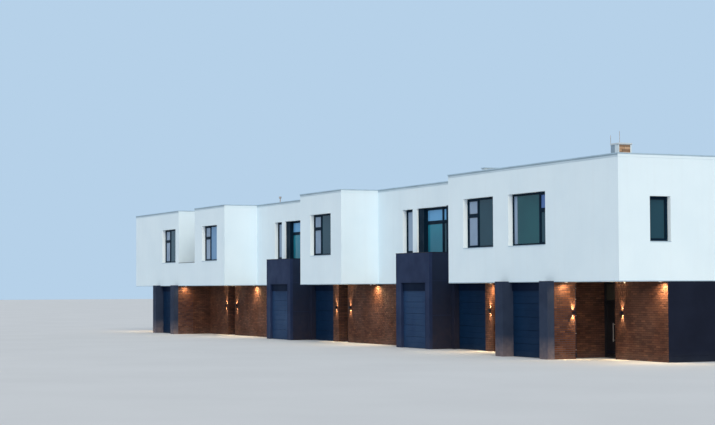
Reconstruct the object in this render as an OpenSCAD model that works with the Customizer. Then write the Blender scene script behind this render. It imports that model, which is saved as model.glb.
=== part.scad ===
// Terraced house row, scale model at 1:2, in millimetres.
// +X is the near (right-hand) end of the street front, -Y faces the street, +Z is up.
// The origin is the bottom centre of the bounding box. Places along the row are given
// as a distance s from the near end, and places across it as a depth from the face of
// the white boxes.

/* [Upper storey, along the row] */
// Width of the white box at the near end
near_box_w = 6200; // [5900:50:6400]
// Width of each wall stretch that is set back between two boxes
recess_w = 5300; // [5000:50:5700]
// Width of each of the two white boxes in the middle
mid_box_w = 2425; // [2200:25:2600]
// Width of the open terrace beside the far box
notch_w = 1400; // [1200:50:1600]
// Width of the white box at the far end
far_box_w = 4100; // [3800:50:4400]

/* [Depths] */
// Depth of the house from the face of the white boxes to its rear face
house_d = 5250; // [4500:50:6000]
// How far the upper wall between two boxes is set back
recess_d = 950; // [850:10:990]
// How far the ground floor wall is set back
ground_setback = 1000; // [960:10:1100]
// Depth at which the entrance doors stand
door_depth = 1300; // [1260:10:1400]
// How far the garage piers stand proud of the white face
pier_proud = 140; // [80:10:200]
// Depth at which the garage piers end and the thinner side wall starts
pier_end = 460; // [420:10:520]
// Depth of the front of each dark garage bay
bay_depth = 475; // [400:10:550]

/* [Heights] */
// Height of the soffit under the white boxes
soffit_h = 1400; // [1350:10:1450]
// Height of the top of the parapet coping
parapet_h = 3600; // [3500:10:3800]
// Height of the top of the bay and terrace parapets
balcony_h = 2075; // [2000:5:2080]
// Thickness of the upper floor, and of the bay's balcony floor under its top
floor_t = 200; // [150:10:250]
// Thickness of the ground floor slab
slab_t = 50; // [40:5:70]
// Thickness of the roof slab
roof_t = 175; // [140:5:220]
// Height of the parapet coping above the roof slab
roof_drop = 175; // [100:5:200]
// Height of the floor of a bay's balcony and of the terrace
balcony_floor_h = 1600; // [1600:5:1620]

/* [Walls] */
// Thickness of the outer walls
wall_t = 180; // [150:5:220]
// Thickness of the brick facing
brick_t = 60; // [50:5:70]
// Thickness of the walls beside an entrance recess
return_t = 120; // [80:5:140]
// Thickness of the walls of a dark garage bay
bay_wall_t = 70; // [66:2:80]
// Thickness of the parapet coping
coping_t = 20; // [12:2:30]
// How far the coping stands out from the wall
coping_over = 12; // [6:1:20]

/* [Ground floor, along the row] */
// Width of the brick wall beside the near porch
porch_wall_w = 1650; // [1500:25:1750]
// Width of the porch between that wall and the garage block
porch_w = 475; // [430:5:520]
// Width of a garage block
block_w = 1925; // [1800:25:2000]
// Width of a garage pier
pier_w = 290; // [250:10:320]
// How far the porch widens behind the pier
niche_w = 350; // [300:10:400]
// Width of an entrance with its frame
entrance_w = 540; // [500:10:580]
// Distance from an entrance to the box edge over it
entrance_gap = 50; // [30:5:100]
// Width of the brick strip between an entrance and a garage
strip_w = 325; // [280:5:360]
// Width of a garage opening in the front wall
garage_w = 1375; // [1300:25:1425]
// Width of the brick between a garage opening and a dark bay
bay_gap = 140; // [100:10:200]
// Width of a dark garage bay
bay_w = 1605; // [1550:5:1700]
// Width of the garage opening in a dark bay
bay_opening_w = 1155; // [1100:5:1200]
// Width of the bay's wall on the near side of its opening
bay_jamb_w = 195; // [170:5:220]
// Height of the garage opening in a dark bay
bay_opening_h = 1420; // [1410:5:1450]

/* [Windows] */
// Height of the sills of the front windows
sill_h = 2085; // [2085:5:2150]
// Height of the heads of the front windows
head_h = 3072; // [2980:2:3120]
// Depth of the window reveals
reveal = 95; // [60:5:100]
// Width of the usual window
window_w = 1210; // [1100:5:1260]
// Width of the wide window in the near box
wide_window_w = 1360; // [1250:10:1450]
// Width of the slim window beside a balcony
slim_window_w = 505; // [440:5:560]
// Width of a balcony window
balcony_window_w = 1425; // [1360:5:1435]
// Width of an end wall window
end_window_w = 430; // [380:10:480]
// Height of the head of an end wall window
end_head_h = 2870; // [2800:10:2900]
// Distance from the white face to an end wall window
end_window_y = 640; // [600:5:700]
// Width of the face of a window frame
frame_w = 34; // [26:1:40]
// Depth of a window frame
frame_d = 40; // [36:1:46]
// Depth of the glass behind the bars of a frame
glass_back = 22; // [18:1:26]
// Thickness of the glass
glass_t = 12; // [8:1:14]

/* [Doors] */
// Height of the top of an entrance door leaf
door_top_h = 1025; // [980:5:1060]
// Thickness of an entrance door leaf
leaf_t = 30; // [24:1:36]
// Gap round the leaf that opens
leaf_gap = 5; // [5:1:8]
// Gap at the latch side of the leaf, wide enough for its outer corner to swing clear
latch_gap = 8; // [8:1:12]
// Height of a sectional garage door
garage_door_h = 1255; // [1200:5:1290]
// Number of sections in a garage door
sections = 5; // [4:1:6]
// Thickness of a garage door
garage_door_t = 22; // [18:1:26]
// Depth of the garage doors in the piers, from the white face
block_door_depth = 90; // [80:5:150]
// Depth of the garage doors behind the face of a wall or bay
door_reveal = 55; // [44:2:60]
// Length of the pull handle
handle_l = 345; // [280:5:400]

/* [Fittings] */
// Side of a wall lamp
lamp_size = 50; // [40:2:60]
// Height of the middle of a wall lamp
lamp_h = 845; // [800:5:900]
// Radius of a soffit spot
spot_r = 32; // [24:1:40]
// Distance from the wall to a soffit spot
spot_gap = 100; // [80:5:150]
// Height of the top of the chimney
chimney_h = 3950; // [3800:10:4000]
// Height of the lightning rods above the chimney
rod_rise = 220; // [150:10:300]
// Height of the roof upstand above the parapet
upstand_rise = 135; // [100:5:160]

/* [Hidden] */
$fn = 32;

// Colours
white = [0.93, 0.93, 0.91];
brick = [0.30, 0.17, 0.12];
charcoal = [0.12, 0.13, 0.16];
navy = [0.12, 0.17, 0.26];
plaster = [0.13, 0.14, 0.19];
pane = [0.22, 0.42, 0.47, 0.6];
steel = [0.62, 0.63, 0.64];
concrete = [0.60, 0.60, 0.58];
warm = [1.0, 0.82, 0.55];

// Distances along the row
module_w = recess_w + mid_box_w;
row_l = near_box_w + 2 * module_w + notch_w + far_box_w;
function box_end(k) = near_box_w + k * module_w;
boxes = [
    [0, near_box_w],
    [box_end(1) - mid_box_w, box_end(1)],
    [box_end(2) - mid_box_w, box_end(2)],
    [row_l - far_box_w, row_l]
];
function entrance_s(k) = box_end(k) - entrance_gap - entrance_w;
function garage_s(k) = box_end(k) - entrance_gap + strip_w;
function bay_s(k) = garage_s(k) + garage_w + bay_gap;
near_block_s = porch_wall_w + porch_w;
far_block_s = row_l - near_block_s - block_w;
far_wall_s = row_l - porch_wall_w;
near_door_s = near_block_s + niche_w - entrance_w;
far_door_s = far_block_s + block_w - niche_w;
side_t = 140;
near_side_s = near_block_s + niche_w + side_t;
far_side_s = far_block_s + block_w - niche_w - side_t;

// Depths, with the middle of the bounding box at zero
face_y = (pier_proud - coping_over - house_d) / 2;
rear_inner = house_d - wall_t;
wall_back = ground_setback + wall_t;
frame_back = door_depth + frame_d;
wall_top = parapet_h - coping_t;
roof_top = parapet_h - roof_drop;
low_coping_t = 12;
low_wall_top = balcony_h - low_coping_t;

// A block between two distances along the row, two depths and two heights
module slab(s0, s1, y0, y1, z0, z1) {
    translate([row_l / 2 - s1, face_y + y0, z0]) cube([s1 - s0, y1 - y0, z1 - z0]);
}

// Moves a piece drawn with its left lower outer corner at the origin to a wall opening
module at(s1, y, z) {
    translate([row_l / 2 - s1, face_y + y, z]) children();
}

// A wall along the row; each hole is [start, end, sill, head]
module pierced_wall(s0, s1, y0, y1, z0, z1, holes) {
    difference() {
        slab(s0, s1, y0, y1, z0, z1);
        for (h = holes) slab(h[0], h[1], y0 - 1, y1 + 1, h[2], h[3]);
    }
}

// Spans of the front wall of the ground floor, from the near end
spans = [
    [0, porch_wall_w],
    [near_block_s + block_w, entrance_s(0)],
    [entrance_s(0) + entrance_w, garage_s(0)],
    [garage_s(0) + garage_w, bay_s(0) + bay_wall_t],
    [bay_s(0) + bay_w - bay_wall_t, entrance_s(1)],
    [entrance_s(1) + entrance_w, garage_s(1)],
    [garage_s(1) + garage_w, bay_s(1) + bay_wall_t],
    [bay_s(1) + bay_w - bay_wall_t, entrance_s(2)],
    [entrance_s(2) + entrance_w, far_block_s],
    [far_wall_s, row_l]
];

// Garages: [start, end, depth of the door face, height of the opening]
wall_door_depth = ground_setback + 2 * door_reveal + 10;
garages = [
    [near_block_s + pier_w, near_block_s + block_w - pier_w, block_door_depth, soffit_h],
    [garage_s(0), garage_s(0) + garage_w, wall_door_depth, soffit_h],
    [bay_s(0) + bay_jamb_w, bay_s(0) + bay_jamb_w + bay_opening_w, bay_depth + door_reveal, bay_opening_h],
    [garage_s(1), garage_s(1) + garage_w, wall_door_depth, soffit_h],
    [bay_s(1) + bay_jamb_w, bay_s(1) + bay_jamb_w + bay_opening_w, bay_depth + door_reveal, bay_opening_h],
    [far_block_s + pier_w, far_block_s + block_w - pier_w, block_door_depth, soffit_h]
];

// Entrances, each by the start of its frame along the row; the first one opens
doors = [near_door_s, entrance_s(0), entrance_s(1), entrance_s(2), far_door_s];

// Windows of the street front: [start, end, sill, head, kind]
usual = 0;
wide = 1;
slim = 2;
balcony = 3;
first_window_in = 2404;
second_window_in = 4352;
near_windows = [
    [first_window_in, first_window_in + wide_window_w, sill_h, head_h, wide],
    [second_window_in, second_window_in + window_w, sill_h, head_h, usual]
];
mid_window_in = 600;
far_window_in = 295;
function mid_window(k) = [boxes[k][0] + mid_window_in, boxes[k][0] + mid_window_in + window_w,
    sill_h, head_h, usual];
far_windows = [[boxes[3][0] + far_window_in, boxes[3][0] + far_window_in + window_w,
    sill_h, head_h, usual]];
slim_in = 115;
balcony_window_in = bay_wall_t + 10;
function balcony_window(k) = [bay_s(k) + balcony_window_in,
    bay_s(k) + balcony_window_in + balcony_window_w, balcony_floor_h, head_h, balcony];
function slim_window(k) = [bay_s(k) + bay_w + slim_in, bay_s(k) + bay_w + slim_in + slim_window_w,
    sill_h, head_h, slim];
terrace_window_w = 1000;
terrace_window = [box_end(2) + (notch_w - terrace_window_w) / 2,
    box_end(2) + (notch_w + terrace_window_w) / 2, balcony_floor_h, head_h, usual];

// Rear windows repeat once for each of six houses
houses = 6;
house_w = row_l / houses;
rear_upper = [for (i = [0 : houses - 1]) each [
    [i * house_w + 700, i * house_w + 700 + window_w, sill_h, head_h, usual],
    [i * house_w + 2900, i * house_w + 2900 + slim_window_w, sill_h, head_h, slim]
]];
patio_head = 1225;
rear_ground = [for (i = [0 : houses - 1])
    [i * house_w + 900, i * house_w + 900 + balcony_window_w, slab_t, patio_head, balcony]];

// Outline of the upper storey grown by g, without the corners of the row ends
function outline(g) = concat(
    [[row_l / 2 + g, face_y + house_d + g], [row_l / 2 + g, face_y - g]],
    [for (k = [0 : 2]) each [
        [row_l / 2 - boxes[k][1] - g, face_y - g],
        [row_l / 2 - boxes[k][1] - g, face_y + recess_d - g],
        [row_l / 2 - boxes[k + 1][0] + g, face_y + recess_d - g],
        [row_l / 2 - boxes[k + 1][0] + g, face_y - g]
    ]],
    [[-row_l / 2 - g, face_y - g], [-row_l / 2 - g, face_y + house_d + g]]
);

module ground_slab() {
    color(concrete) slab(wall_t, row_l - wall_t, frame_back, rear_inner, 0, slab_t);
}

// Floor between the entrance recesses
module front_floor_strips() {
    color(concrete) {
        slab(wall_t, porch_wall_w - return_t, wall_back, frame_back, 0, slab_t);
        slab(near_side_s, entrance_s(0) - return_t, wall_back, frame_back, 0, slab_t);
        for (k = [0 : 1])
            slab(entrance_s(k) + entrance_w + return_t, entrance_s(k + 1) - return_t,
                wall_back, frame_back, 0, slab_t);
        slab(entrance_s(2) + entrance_w + return_t, far_side_s, wall_back, frame_back, 0, slab_t);
        slab(far_wall_s + return_t, row_l - wall_t, wall_back, frame_back, 0, slab_t);
    }
}

// Garage floors reach the inside of the doors
module garage_floors() {
    color(concrete)
        for (g = garages)
            slab(max(g[0], near_side_s), min(g[1], far_side_s), g[2] + garage_door_t, wall_back,
                0, slab_t);
}

module upper_floor() {
    color(white) slab(wall_t, row_l - wall_t, recess_d + wall_t, rear_inner, soffit_h, soffit_h + floor_t);
}

module upper_floor_boxes() {
    color(white) {
        slab(wall_t, boxes[0][1] - wall_t, wall_t, recess_d + wall_t, soffit_h, soffit_h + floor_t);
        slab(boxes[1][0] + wall_t, boxes[1][1] - wall_t, wall_t, recess_d + wall_t,
            soffit_h, soffit_h + floor_t);
        slab(boxes[2][0] + wall_t, row_l - wall_t, wall_t, recess_d + wall_t,
            soffit_h, soffit_h + floor_t);
    }
}

module roof_slab() {
    color(concrete) slab(wall_t, row_l - wall_t, recess_d + wall_t, rear_inner, roof_top - roof_t, roof_top);
}

module roof_slab_boxes() {
    color(concrete)
        for (b = boxes)
            slab(b[0] + wall_t, b[1] - wall_t, wall_t, recess_d + wall_t, roof_top - roof_t, roof_top);
}

module ground_end_walls() {
    color(plaster)
        for (s = [0, row_l - wall_t])
            slab(s, s + wall_t, ground_setback + brick_t, rear_inner, 0, soffit_h);
}

module ground_rear_wall() {
    color(plaster) pierced_wall(0, row_l, rear_inner, house_d, 0, soffit_h, rear_ground);
}

module inner_front_walls() {
    color(plaster)
        for (p = spans)
            slab(max(p[0], wall_t), min(p[1], row_l - wall_t), ground_setback + brick_t, wall_back,
                0, soffit_h);
}

module brick_front_walls() {
    color(brick)
        for (p = spans) slab(p[0], p[1], ground_setback, ground_setback + brick_t, 0, soffit_h);
}

// Walls beside the entrances, and the short walls that join a pier to the wall that steps back
module porch_returns() {
    color(brick) {
        slab(near_block_s + pier_w, near_side_s, pier_end - return_t, pier_end, 0, soffit_h);
        slab(far_side_s, far_block_s + block_w - pier_w, pier_end - return_t, pier_end, 0, soffit_h);
        slab(porch_wall_w - return_t, porch_wall_w, wall_back, frame_back, 0, soffit_h);
        slab(far_wall_s, far_wall_s + return_t, wall_back, frame_back, 0, soffit_h);
        for (k = [0 : 2]) {
            slab(entrance_s(k) - return_t, entrance_s(k), wall_back, frame_back, 0, soffit_h);
            slab(entrance_s(k) + entrance_w, entrance_s(k) + entrance_w + return_t,
                wall_back, frame_back, 0, soffit_h);
        }
    }
}

// Piers stand proud of the white face and rise a little above the soffit there
pier_rise = 20;
module garage_piers() {
    color(brick)
        for (b = [near_block_s, far_block_s])
            for (s = [b, b + block_w - pier_w]) {
                slab(s, s + pier_w, -pier_proud, 0, 0, soffit_h + pier_rise);
                slab(s, s + pier_w, 0, pier_end, 0, soffit_h);
            }
}

// Walls behind the piers; on the porch side the wall steps back
module garage_side_walls() {
    color(brick) {
        slab(near_side_s - side_t, near_side_s, pier_end, frame_back, 0, soffit_h);
        slab(near_block_s + block_w - side_t, near_block_s + block_w, pier_end, wall_back, 0, soffit_h);
        slab(far_block_s, far_block_s + side_t, pier_end, wall_back, 0, soffit_h);
        slab(far_side_s, far_side_s + side_t, pier_end, frame_back, 0, soffit_h);
    }
}

// Front of a dark bay: the garage opening with the balcony parapet over it
module bay_front(k) {
    color(navy)
        pierced_wall(bay_s(k), bay_s(k) + bay_w, bay_depth, bay_depth + bay_wall_t, 0, low_wall_top,
            [[garages[2 + 2 * k][0], garages[2 + 2 * k][1], -1, bay_opening_h]]);
}

module bay_sides() {
    color(navy)
        for (k = [0 : 1])
            for (s = [bay_s(k), bay_s(k) + bay_w - bay_wall_t]) {
                slab(s, s + bay_wall_t, bay_depth + bay_wall_t, recess_d, 0, low_wall_top);
                slab(s, s + bay_wall_t, recess_d, ground_setback, 0, soffit_h);
            }
}

module bay_floors() {
    color(charcoal)
        for (k = [0 : 1])
            slab(bay_s(k) + bay_wall_t, bay_s(k) + bay_w - bay_wall_t, bay_depth + bay_wall_t, recess_d,
                balcony_floor_h - floor_t / 2, balcony_floor_h);
}

// A sectional door with a groove between its sections
groove = 5;
module garage_door(i) {
    g = garages[i];
    section_h = garage_door_h / sections;
    color(navy) difference() {
        slab(g[0], g[1], g[2], g[2] + garage_door_t, 0, garage_door_h);
        for (n = [1 : sections - 1])
            slab(g[0] - 1, g[1] + 1, g[2] - 1, g[2] + groove, n * section_h - groove / 2,
                n * section_h + groove / 2);
    }
}

// Fixed panel in front of the top of each garage door
fascia_t = 20;
fascia_lap = 10;
module garage_fascias() {
    color(charcoal)
        for (g = garages) slab(g[0], g[1], g[2] - fascia_t, g[2], garage_door_h - fascia_lap, g[3]);
}

// An entrance frame: jambs, a bar over the door, a head and a threshold
jamb_w = 35;
bar_h = 30;
sill_bar_h = 8;
module entrance_frame() {
    difference() {
        cube([entrance_w, frame_d, soffit_h]);
        translate([jamb_w, -1, slab_t + sill_bar_h])
            cube([entrance_w - 2 * jamb_w, frame_d + 2, door_top_h + leaf_gap - slab_t - sill_bar_h]);
        translate([jamb_w, -1, door_top_h + leaf_gap + bar_h])
            cube([entrance_w - 2 * jamb_w, frame_d + 2, soffit_h - door_top_h - leaf_gap - 2 * bar_h]);
    }
}

module entrance_frames() {
    color(charcoal) {
        for (s = doors) at(s + entrance_w, door_depth, 0) entrance_frame();
        slab(porch_wall_w, near_door_s, door_depth, frame_back, 0, soffit_h);
        slab(far_door_s + entrance_w, far_wall_s, door_depth, frame_back, 0, soffit_h);
    }
}

// The leaf that opens hangs clear of its frame, on hinges at its inner face
leaf_w = entrance_w - 2 * jamb_w - leaf_gap - latch_gap;
leaf_z = slab_t + sill_bar_h + leaf_gap;
leaf_y = door_depth + 4;
hinge_x = row_l / 2 - near_door_s - entrance_w + jamb_w + leaf_gap / 2;
hinge_back = 16;
hinge_y = face_y + leaf_y + leaf_t + hinge_back;
module entrance_door() {
    color(charcoal)
        translate([hinge_x + leaf_gap / 2, face_y + leaf_y, leaf_z])
            cube([leaf_w, leaf_t, door_top_h - leaf_z]);
}

module entrance_doors_fixed() {
    color(charcoal)
        for (i = [1 : 4])
            at(doors[i] + entrance_w - jamb_w, leaf_y, slab_t + sill_bar_h)
                cube([entrance_w - 2 * jamb_w, leaf_t, door_top_h + leaf_gap - slab_t - sill_bar_h]);
}

// Pull handle: a long bar on two posts that stand on the leaf
handle_r = 7.5;
post_r = 5;
post_l = 40;
handle_mid = 475;
handle_in = 150;
module handle(x) {
    translate([x, face_y + leaf_y, handle_mid]) {
        translate([0, -post_l, -handle_l / 2]) cylinder(r = handle_r, h = handle_l);
        for (z = [-0.42, 0.42])
            translate([0, -post_l, z * handle_l]) rotate([-90, 0, 0]) cylinder(r = post_r, h = post_l);
    }
}

module pull_handle() {
    color(steel) handle(hinge_x + leaf_gap / 2 + leaf_w - handle_in);
}

module fixed_handles() {
    color(steel)
        for (i = [1 : 3]) handle(row_l / 2 - doors[i] - jamb_w - handle_in);
    color(steel) handle(row_l / 2 - far_door_s - entrance_w + jamb_w + handle_in);
}

// Hinges: a knuckle on the leaf turns on a pin that two ears hold on the frame
hinges = [200, 600, 950];
knuckle_r = 6;
knuckle_h = 40;
pin_r = 3;
pin_gap = 0.3;
ear_t = 5;
ear_gap = 1;
module door_hinges() {
    color(steel)
        for (z = hinges)
            translate([hinge_x, hinge_y, z]) difference() {
                union() {
                    cylinder(r = knuckle_r, h = knuckle_h, center = true);
                    translate([0, -hinge_back, -knuckle_h / 2]) cube([knuckle_r, hinge_back, knuckle_h]);
                    translate([leaf_gap / 2, -hinge_back, -knuckle_h / 2]) cube([36, 3, knuckle_h]);
                }
                cylinder(r = pin_r + pin_gap, h = knuckle_h + 2, center = true);
            }
}

module hinge_pins() {
    ear_y = frame_back + face_y - hinge_y;
    color(steel)
        for (z = hinges)
            translate([hinge_x, hinge_y, z]) {
                cylinder(r = pin_r, h = knuckle_h + 2 * ear_gap + 2 * ear_t, center = true);
                for (e = [-1, 1])
                    translate([-18, ear_y, e * (knuckle_h / 2 + ear_gap + ear_t / 2) - ear_t / 2])
                        cube([18 + pin_r, pin_r - ear_y, ear_t]);
            }
}

// Glass over the entrance doors
module transom_glass() {
    color(pane)
        for (s = doors)
            slab(s + jamb_w, s + entrance_w - jamb_w, door_depth + glass_back, door_depth + glass_back + glass_t,
                door_top_h + leaf_gap + bar_h, soffit_h - bar_h);
}

module box_front_wall(k) {
    holes = k == 0 ? near_windows : k == 3 ? far_windows : [mid_window(k)];
    color(white) pierced_wall(boxes[k][0], boxes[k][1], 0, wall_t, soffit_h, wall_top, holes);
}

module recess_wall(k) {
    color(white)
        pierced_wall(boxes[k][1] - wall_t, boxes[k + 1][0] + wall_t, recess_d, recess_d + wall_t,
            soffit_h, wall_top, [balcony_window(k), slim_window(k)]);
}

module return_walls() {
    color(white)
        for (s = [boxes[0][1] - wall_t, boxes[1][0], boxes[1][1] - wall_t, boxes[2][0]])
            slab(s, s + wall_t, wall_t, recess_d, soffit_h, wall_top);
}

// Walls round the open terrace, which stand on the upper floor
module terrace_walls() {
    color(white) {
        for (s = [boxes[2][1] - wall_t, boxes[3][0]])
            slab(s, s + wall_t, wall_t, recess_d, soffit_h + floor_t, wall_top);
        pierced_wall(boxes[2][1] - wall_t, boxes[3][0] + wall_t, recess_d, recess_d + wall_t,
            soffit_h + floor_t, wall_top, [terrace_window]);
    }
}

module terrace_parapet() {
    color(white) slab(boxes[2][1], boxes[3][0], 0, wall_t, soffit_h, low_wall_top);
}

module white_end_walls() {
    color(white)
        for (s = [0, row_l - wall_t]) difference() {
            slab(s, s + wall_t, wall_t, rear_inner, soffit_h, wall_top);
            slab(s - 1, s + wall_t + 1, end_window_y, end_window_y + end_window_w, sill_h, end_head_h);
        }
}

module upper_rear_wall() {
    color(white) pierced_wall(0, row_l, rear_inner, house_d, soffit_h, wall_top, rear_upper);
}

module parapet_coping() {
    color(steel) translate([0, 0, wall_top]) difference() {
        linear_extrude(coping_t) polygon(outline(coping_over));
        translate([0, 0, -1]) linear_extrude(coping_t + 2) polygon(outline(-wall_t - coping_over));
    }
}

// Copings of the bays and of the terrace parapet
low_over = 6;
module low_copings() {
    color(charcoal)
        for (k = [0 : 1]) difference() {
            slab(bay_s(k) - low_over, bay_s(k) + bay_w + low_over, bay_depth - low_over, recess_d,
                low_wall_top, balcony_h);
            slab(bay_s(k) + bay_wall_t + low_over, bay_s(k) + bay_w - bay_wall_t - low_over,
                bay_depth + bay_wall_t + low_over, recess_d + 1, low_wall_top - 1, balcony_h + 1);
        }
    color(steel)
        slab(boxes[2][1], boxes[3][0], -low_over, wall_t + low_over, low_wall_top, balcony_h);
}

// A window frame with bars: w and h outside, kind sets the bars and the sash
panel_proud = 30;
module window_frame(w, h, kind) {
    sash_x = kind == wide ? w * 0.73 : kind == usual ? w * 0.36 : w;
    transom_z = (kind == balcony ? h - (head_h - sill_h) * 0.35 : h * 0.64);
    difference() {
        cube([w, frame_d, h]);
        translate([frame_w, -1, frame_w]) cube([w - 2 * frame_w, frame_d + 2, h - 2 * frame_w]);
    }
    bar_w = frame_w * 0.9;
    if (kind == usual || kind == wide) {
        translate([sash_x - bar_w / 2, 3, frame_w]) cube([bar_w, glass_back - 3, h - 2 * frame_w]);
        bar_from = kind == usual ? frame_w : sash_x + bar_w / 2;
        bar_to = kind == usual ? sash_x - bar_w / 2 : w - frame_w;
        translate([bar_from, 3, transom_z]) cube([bar_to - bar_from, glass_back - 3, bar_w]);
    }
    if (kind == balcony) {
        panel_w = w * 0.185;
        light_w = w * 0.73;
        translate([frame_w, -panel_proud, frame_w])
            cube([panel_w - frame_w, glass_back + panel_proud, h - 2 * frame_w]);
        translate([panel_w, 3, frame_w]) cube([bar_w, glass_back - 3, h - 2 * frame_w]);
        translate([light_w, 3, frame_w]) cube([bar_w, glass_back - 3, h - 2 * frame_w]);
        for (b = [[panel_w + bar_w, light_w], [light_w + bar_w, w - frame_w]])
            translate([b[0], 3, transom_z]) cube([b[1] - b[0], glass_back - 3, bar_w]);
    }
}

// Frame or glass of a list of windows in a wall whose outer face is at depth y
module frames(windows, y) {
    for (v = windows) at(v[1], y + reveal, v[2]) window_frame(v[1] - v[0], v[3] - v[2], v[4]);
}

module panes(windows, y) {
    for (v = windows)
        slab(v[0] + frame_w, v[1] - frame_w, y + reveal + glass_back, y + reveal + glass_back + glass_t,
            v[2] + frame_w, v[3] - frame_w);
}

box_windows = concat(near_windows, [mid_window(1), mid_window(2)], far_windows);
recess_windows = concat([for (k = [0 : 1]) each [balcony_window(k), slim_window(k)]], [terrace_window]);

module front_window_frames() {
    color(charcoal) frames(box_windows, 0);
}

module recess_window_frames() {
    color(charcoal) frames(recess_windows, recess_d);
}

// End windows, turned to face outwards; the glass is drawn at the same place
module at_ends() {
    translate([row_l / 2 - reveal, face_y + end_window_y, sill_h]) rotate([0, 0, 90]) children();
    translate([-row_l / 2 + reveal, face_y + end_window_y + end_window_w, sill_h])
        rotate([0, 0, -90]) children();
}

module end_window_frames() {
    color(charcoal) at_ends() window_frame(end_window_w, end_head_h - sill_h, slim);
}

// Rear windows face the other way
module rear_frames(windows) {
    for (v = windows)
        translate([row_l / 2 - v[0], face_y + house_d - reveal, v[2]]) rotate([0, 0, 180])
            window_frame(v[1] - v[0], v[3] - v[2], v[4]);
}

module rear_window_frames() {
    color(charcoal) {
        rear_frames(rear_upper);
        rear_frames(rear_ground);
    }
}

module window_glass() {
    color(pane) {
        panes(box_windows, 0);
        panes(recess_windows, recess_d);
        at_ends()
            translate([frame_w, glass_back, frame_w])
                cube([end_window_w - 2 * frame_w, glass_t, end_head_h - sill_h - 2 * frame_w]);
    }
}

module rear_glass() {
    color(pane) panes(concat(rear_upper, rear_ground), house_d - 2 * reveal - 2 * glass_back - glass_t);
}

// Sheet metal sills with a small drip edge in front of the wall
sill_t = 8;
sill_drip = 12;
module sill_piece(w) {
    translate([0, -sill_drip, 0]) cube([w, reveal + sill_drip, sill_t]);
}

module window_sills() {
    color(steel) {
        for (v = box_windows) at(v[1], 0, v[2]) sill_piece(v[1] - v[0]);
        for (k = [0 : 1]) at(slim_window(k)[1], recess_d, sill_h) sill_piece(slim_window_w);
        for (v = rear_upper)
            translate([row_l / 2 - v[0], face_y + house_d, v[2]]) rotate([0, 0, 180])
                sill_piece(v[1] - v[0]);
        translate([row_l / 2, face_y + end_window_y, sill_h]) rotate([0, 0, 90])
            sill_piece(end_window_w);
        translate([-row_l / 2, face_y + end_window_y + end_window_w, sill_h]) rotate([0, 0, -90])
            sill_piece(end_window_w);
    }
}

// A lamp that shines up and down, with its back on the wall behind the origin
module lamp() {
    lens_r = lamp_size * 0.36;
    difference() {
        translate([-lamp_size / 2, -lamp_size, -lamp_size / 2]) cube(lamp_size);
        for (e = [-1, 1])
            translate([0, -lamp_size / 2, e * lamp_size / 2]) cylinder(r = lens_r, h = 8, center = true);
    }
}

lamp_in = 180;
strip_lamp_in = 105;
porch_lamp_in = 240;
side_lamp_in = 70;
module wall_lamps() {
    lamp_s = concat(
        [porch_wall_w - porch_lamp_in, far_wall_s + porch_lamp_in],
        [for (k = [0 : 2]) each
            [entrance_s(k) - lamp_in, entrance_s(k) + entrance_w + strip_lamp_in]]
    );
    color(charcoal) {
        for (s = lamp_s) translate([row_l / 2 - s, face_y + ground_setback, lamp_h]) lamp();
        translate([row_l / 2 - near_block_s, face_y + pier_end - side_lamp_in, lamp_h]) rotate([0, 0, 90]) lamp();
        translate([row_l / 2 - far_block_s - block_w, face_y + pier_end - side_lamp_in, lamp_h])
            rotate([0, 0, -90]) lamp();
    }
}

// Soffit spots, each a shallow ring under the upper floor
spot_h = 10;
spot_y = ground_setback - spot_gap;
side_spot_y = 200;
spot_in = 130;
end_spot_in = 90;
spots = [
    [end_spot_in, spot_y], [near_block_s - spot_gap, side_spot_y], [boxes[0][1] - spot_in, spot_y],
    [boxes[1][0] + spot_in, spot_y], [boxes[2][0] + spot_in, spot_y],
    [far_block_s - spot_gap, side_spot_y], [far_block_s + block_w + spot_gap, side_spot_y],
    [row_l - end_spot_in, spot_y]
];
module soffit_spots() {
    color(warm)
        for (p = spots)
            translate([row_l / 2 - p[0], face_y + p[1], soffit_h - spot_h])
                cylinder(r = spot_r, h = spot_h);
}

// Chimney over the near house, with a cap and two lightning rods
chimney_s = 1970;
chimney_y = 1375;
chimney_w = 250;
chimney_d = 275;
cap_t = 25;
cap_over = 15;
module at_chimney() {
    translate([row_l / 2 - chimney_s, face_y + chimney_y, 0]) children();
}

module chimney() {
    color(brick) at_chimney()
        translate([-chimney_w / 2, -chimney_d / 2, roof_top])
            cube([chimney_w, chimney_d, chimney_h - cap_t - roof_top]);
}

module chimney_cap() {
    color(steel) at_chimney()
        translate([-chimney_w / 2 - cap_over, -chimney_d / 2 - cap_over, chimney_h - cap_t])
            cube([chimney_w + 2 * cap_over, chimney_d + 2 * cap_over, cap_t]);
}

rod_r = 5;
rods = [
    [-chimney_w / 2 - cap_over + 2 * rod_r, -chimney_d / 2 - cap_over + 2 * rod_r, 0.7],
    [chimney_w * 0.22, -chimney_d / 4, 1]
];
module lightning_rods() {
    color(steel) at_chimney()
        for (p = rods) translate([p[0], p[1], chimney_h]) cylinder(r = rod_r, h = rod_rise * p[2]);
}

// Low upstand across the roof, with a sheet metal cap
upstand_in = 300;
upstand_t = 120;
upstand_y = 620;
upstand_l = 1900;
module roof_upstand() {
    s1 = near_box_w - upstand_in;
    top = parapet_h + upstand_rise - coping_t;
    color(white) slab(s1 - upstand_t, s1, upstand_y, upstand_y + upstand_l, roof_top, top);
    color(steel)
        slab(s1 - upstand_t - coping_over, s1 + coping_over, upstand_y - coping_over,
            upstand_y + upstand_l + coping_over, top, top + coping_t);
}

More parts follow.
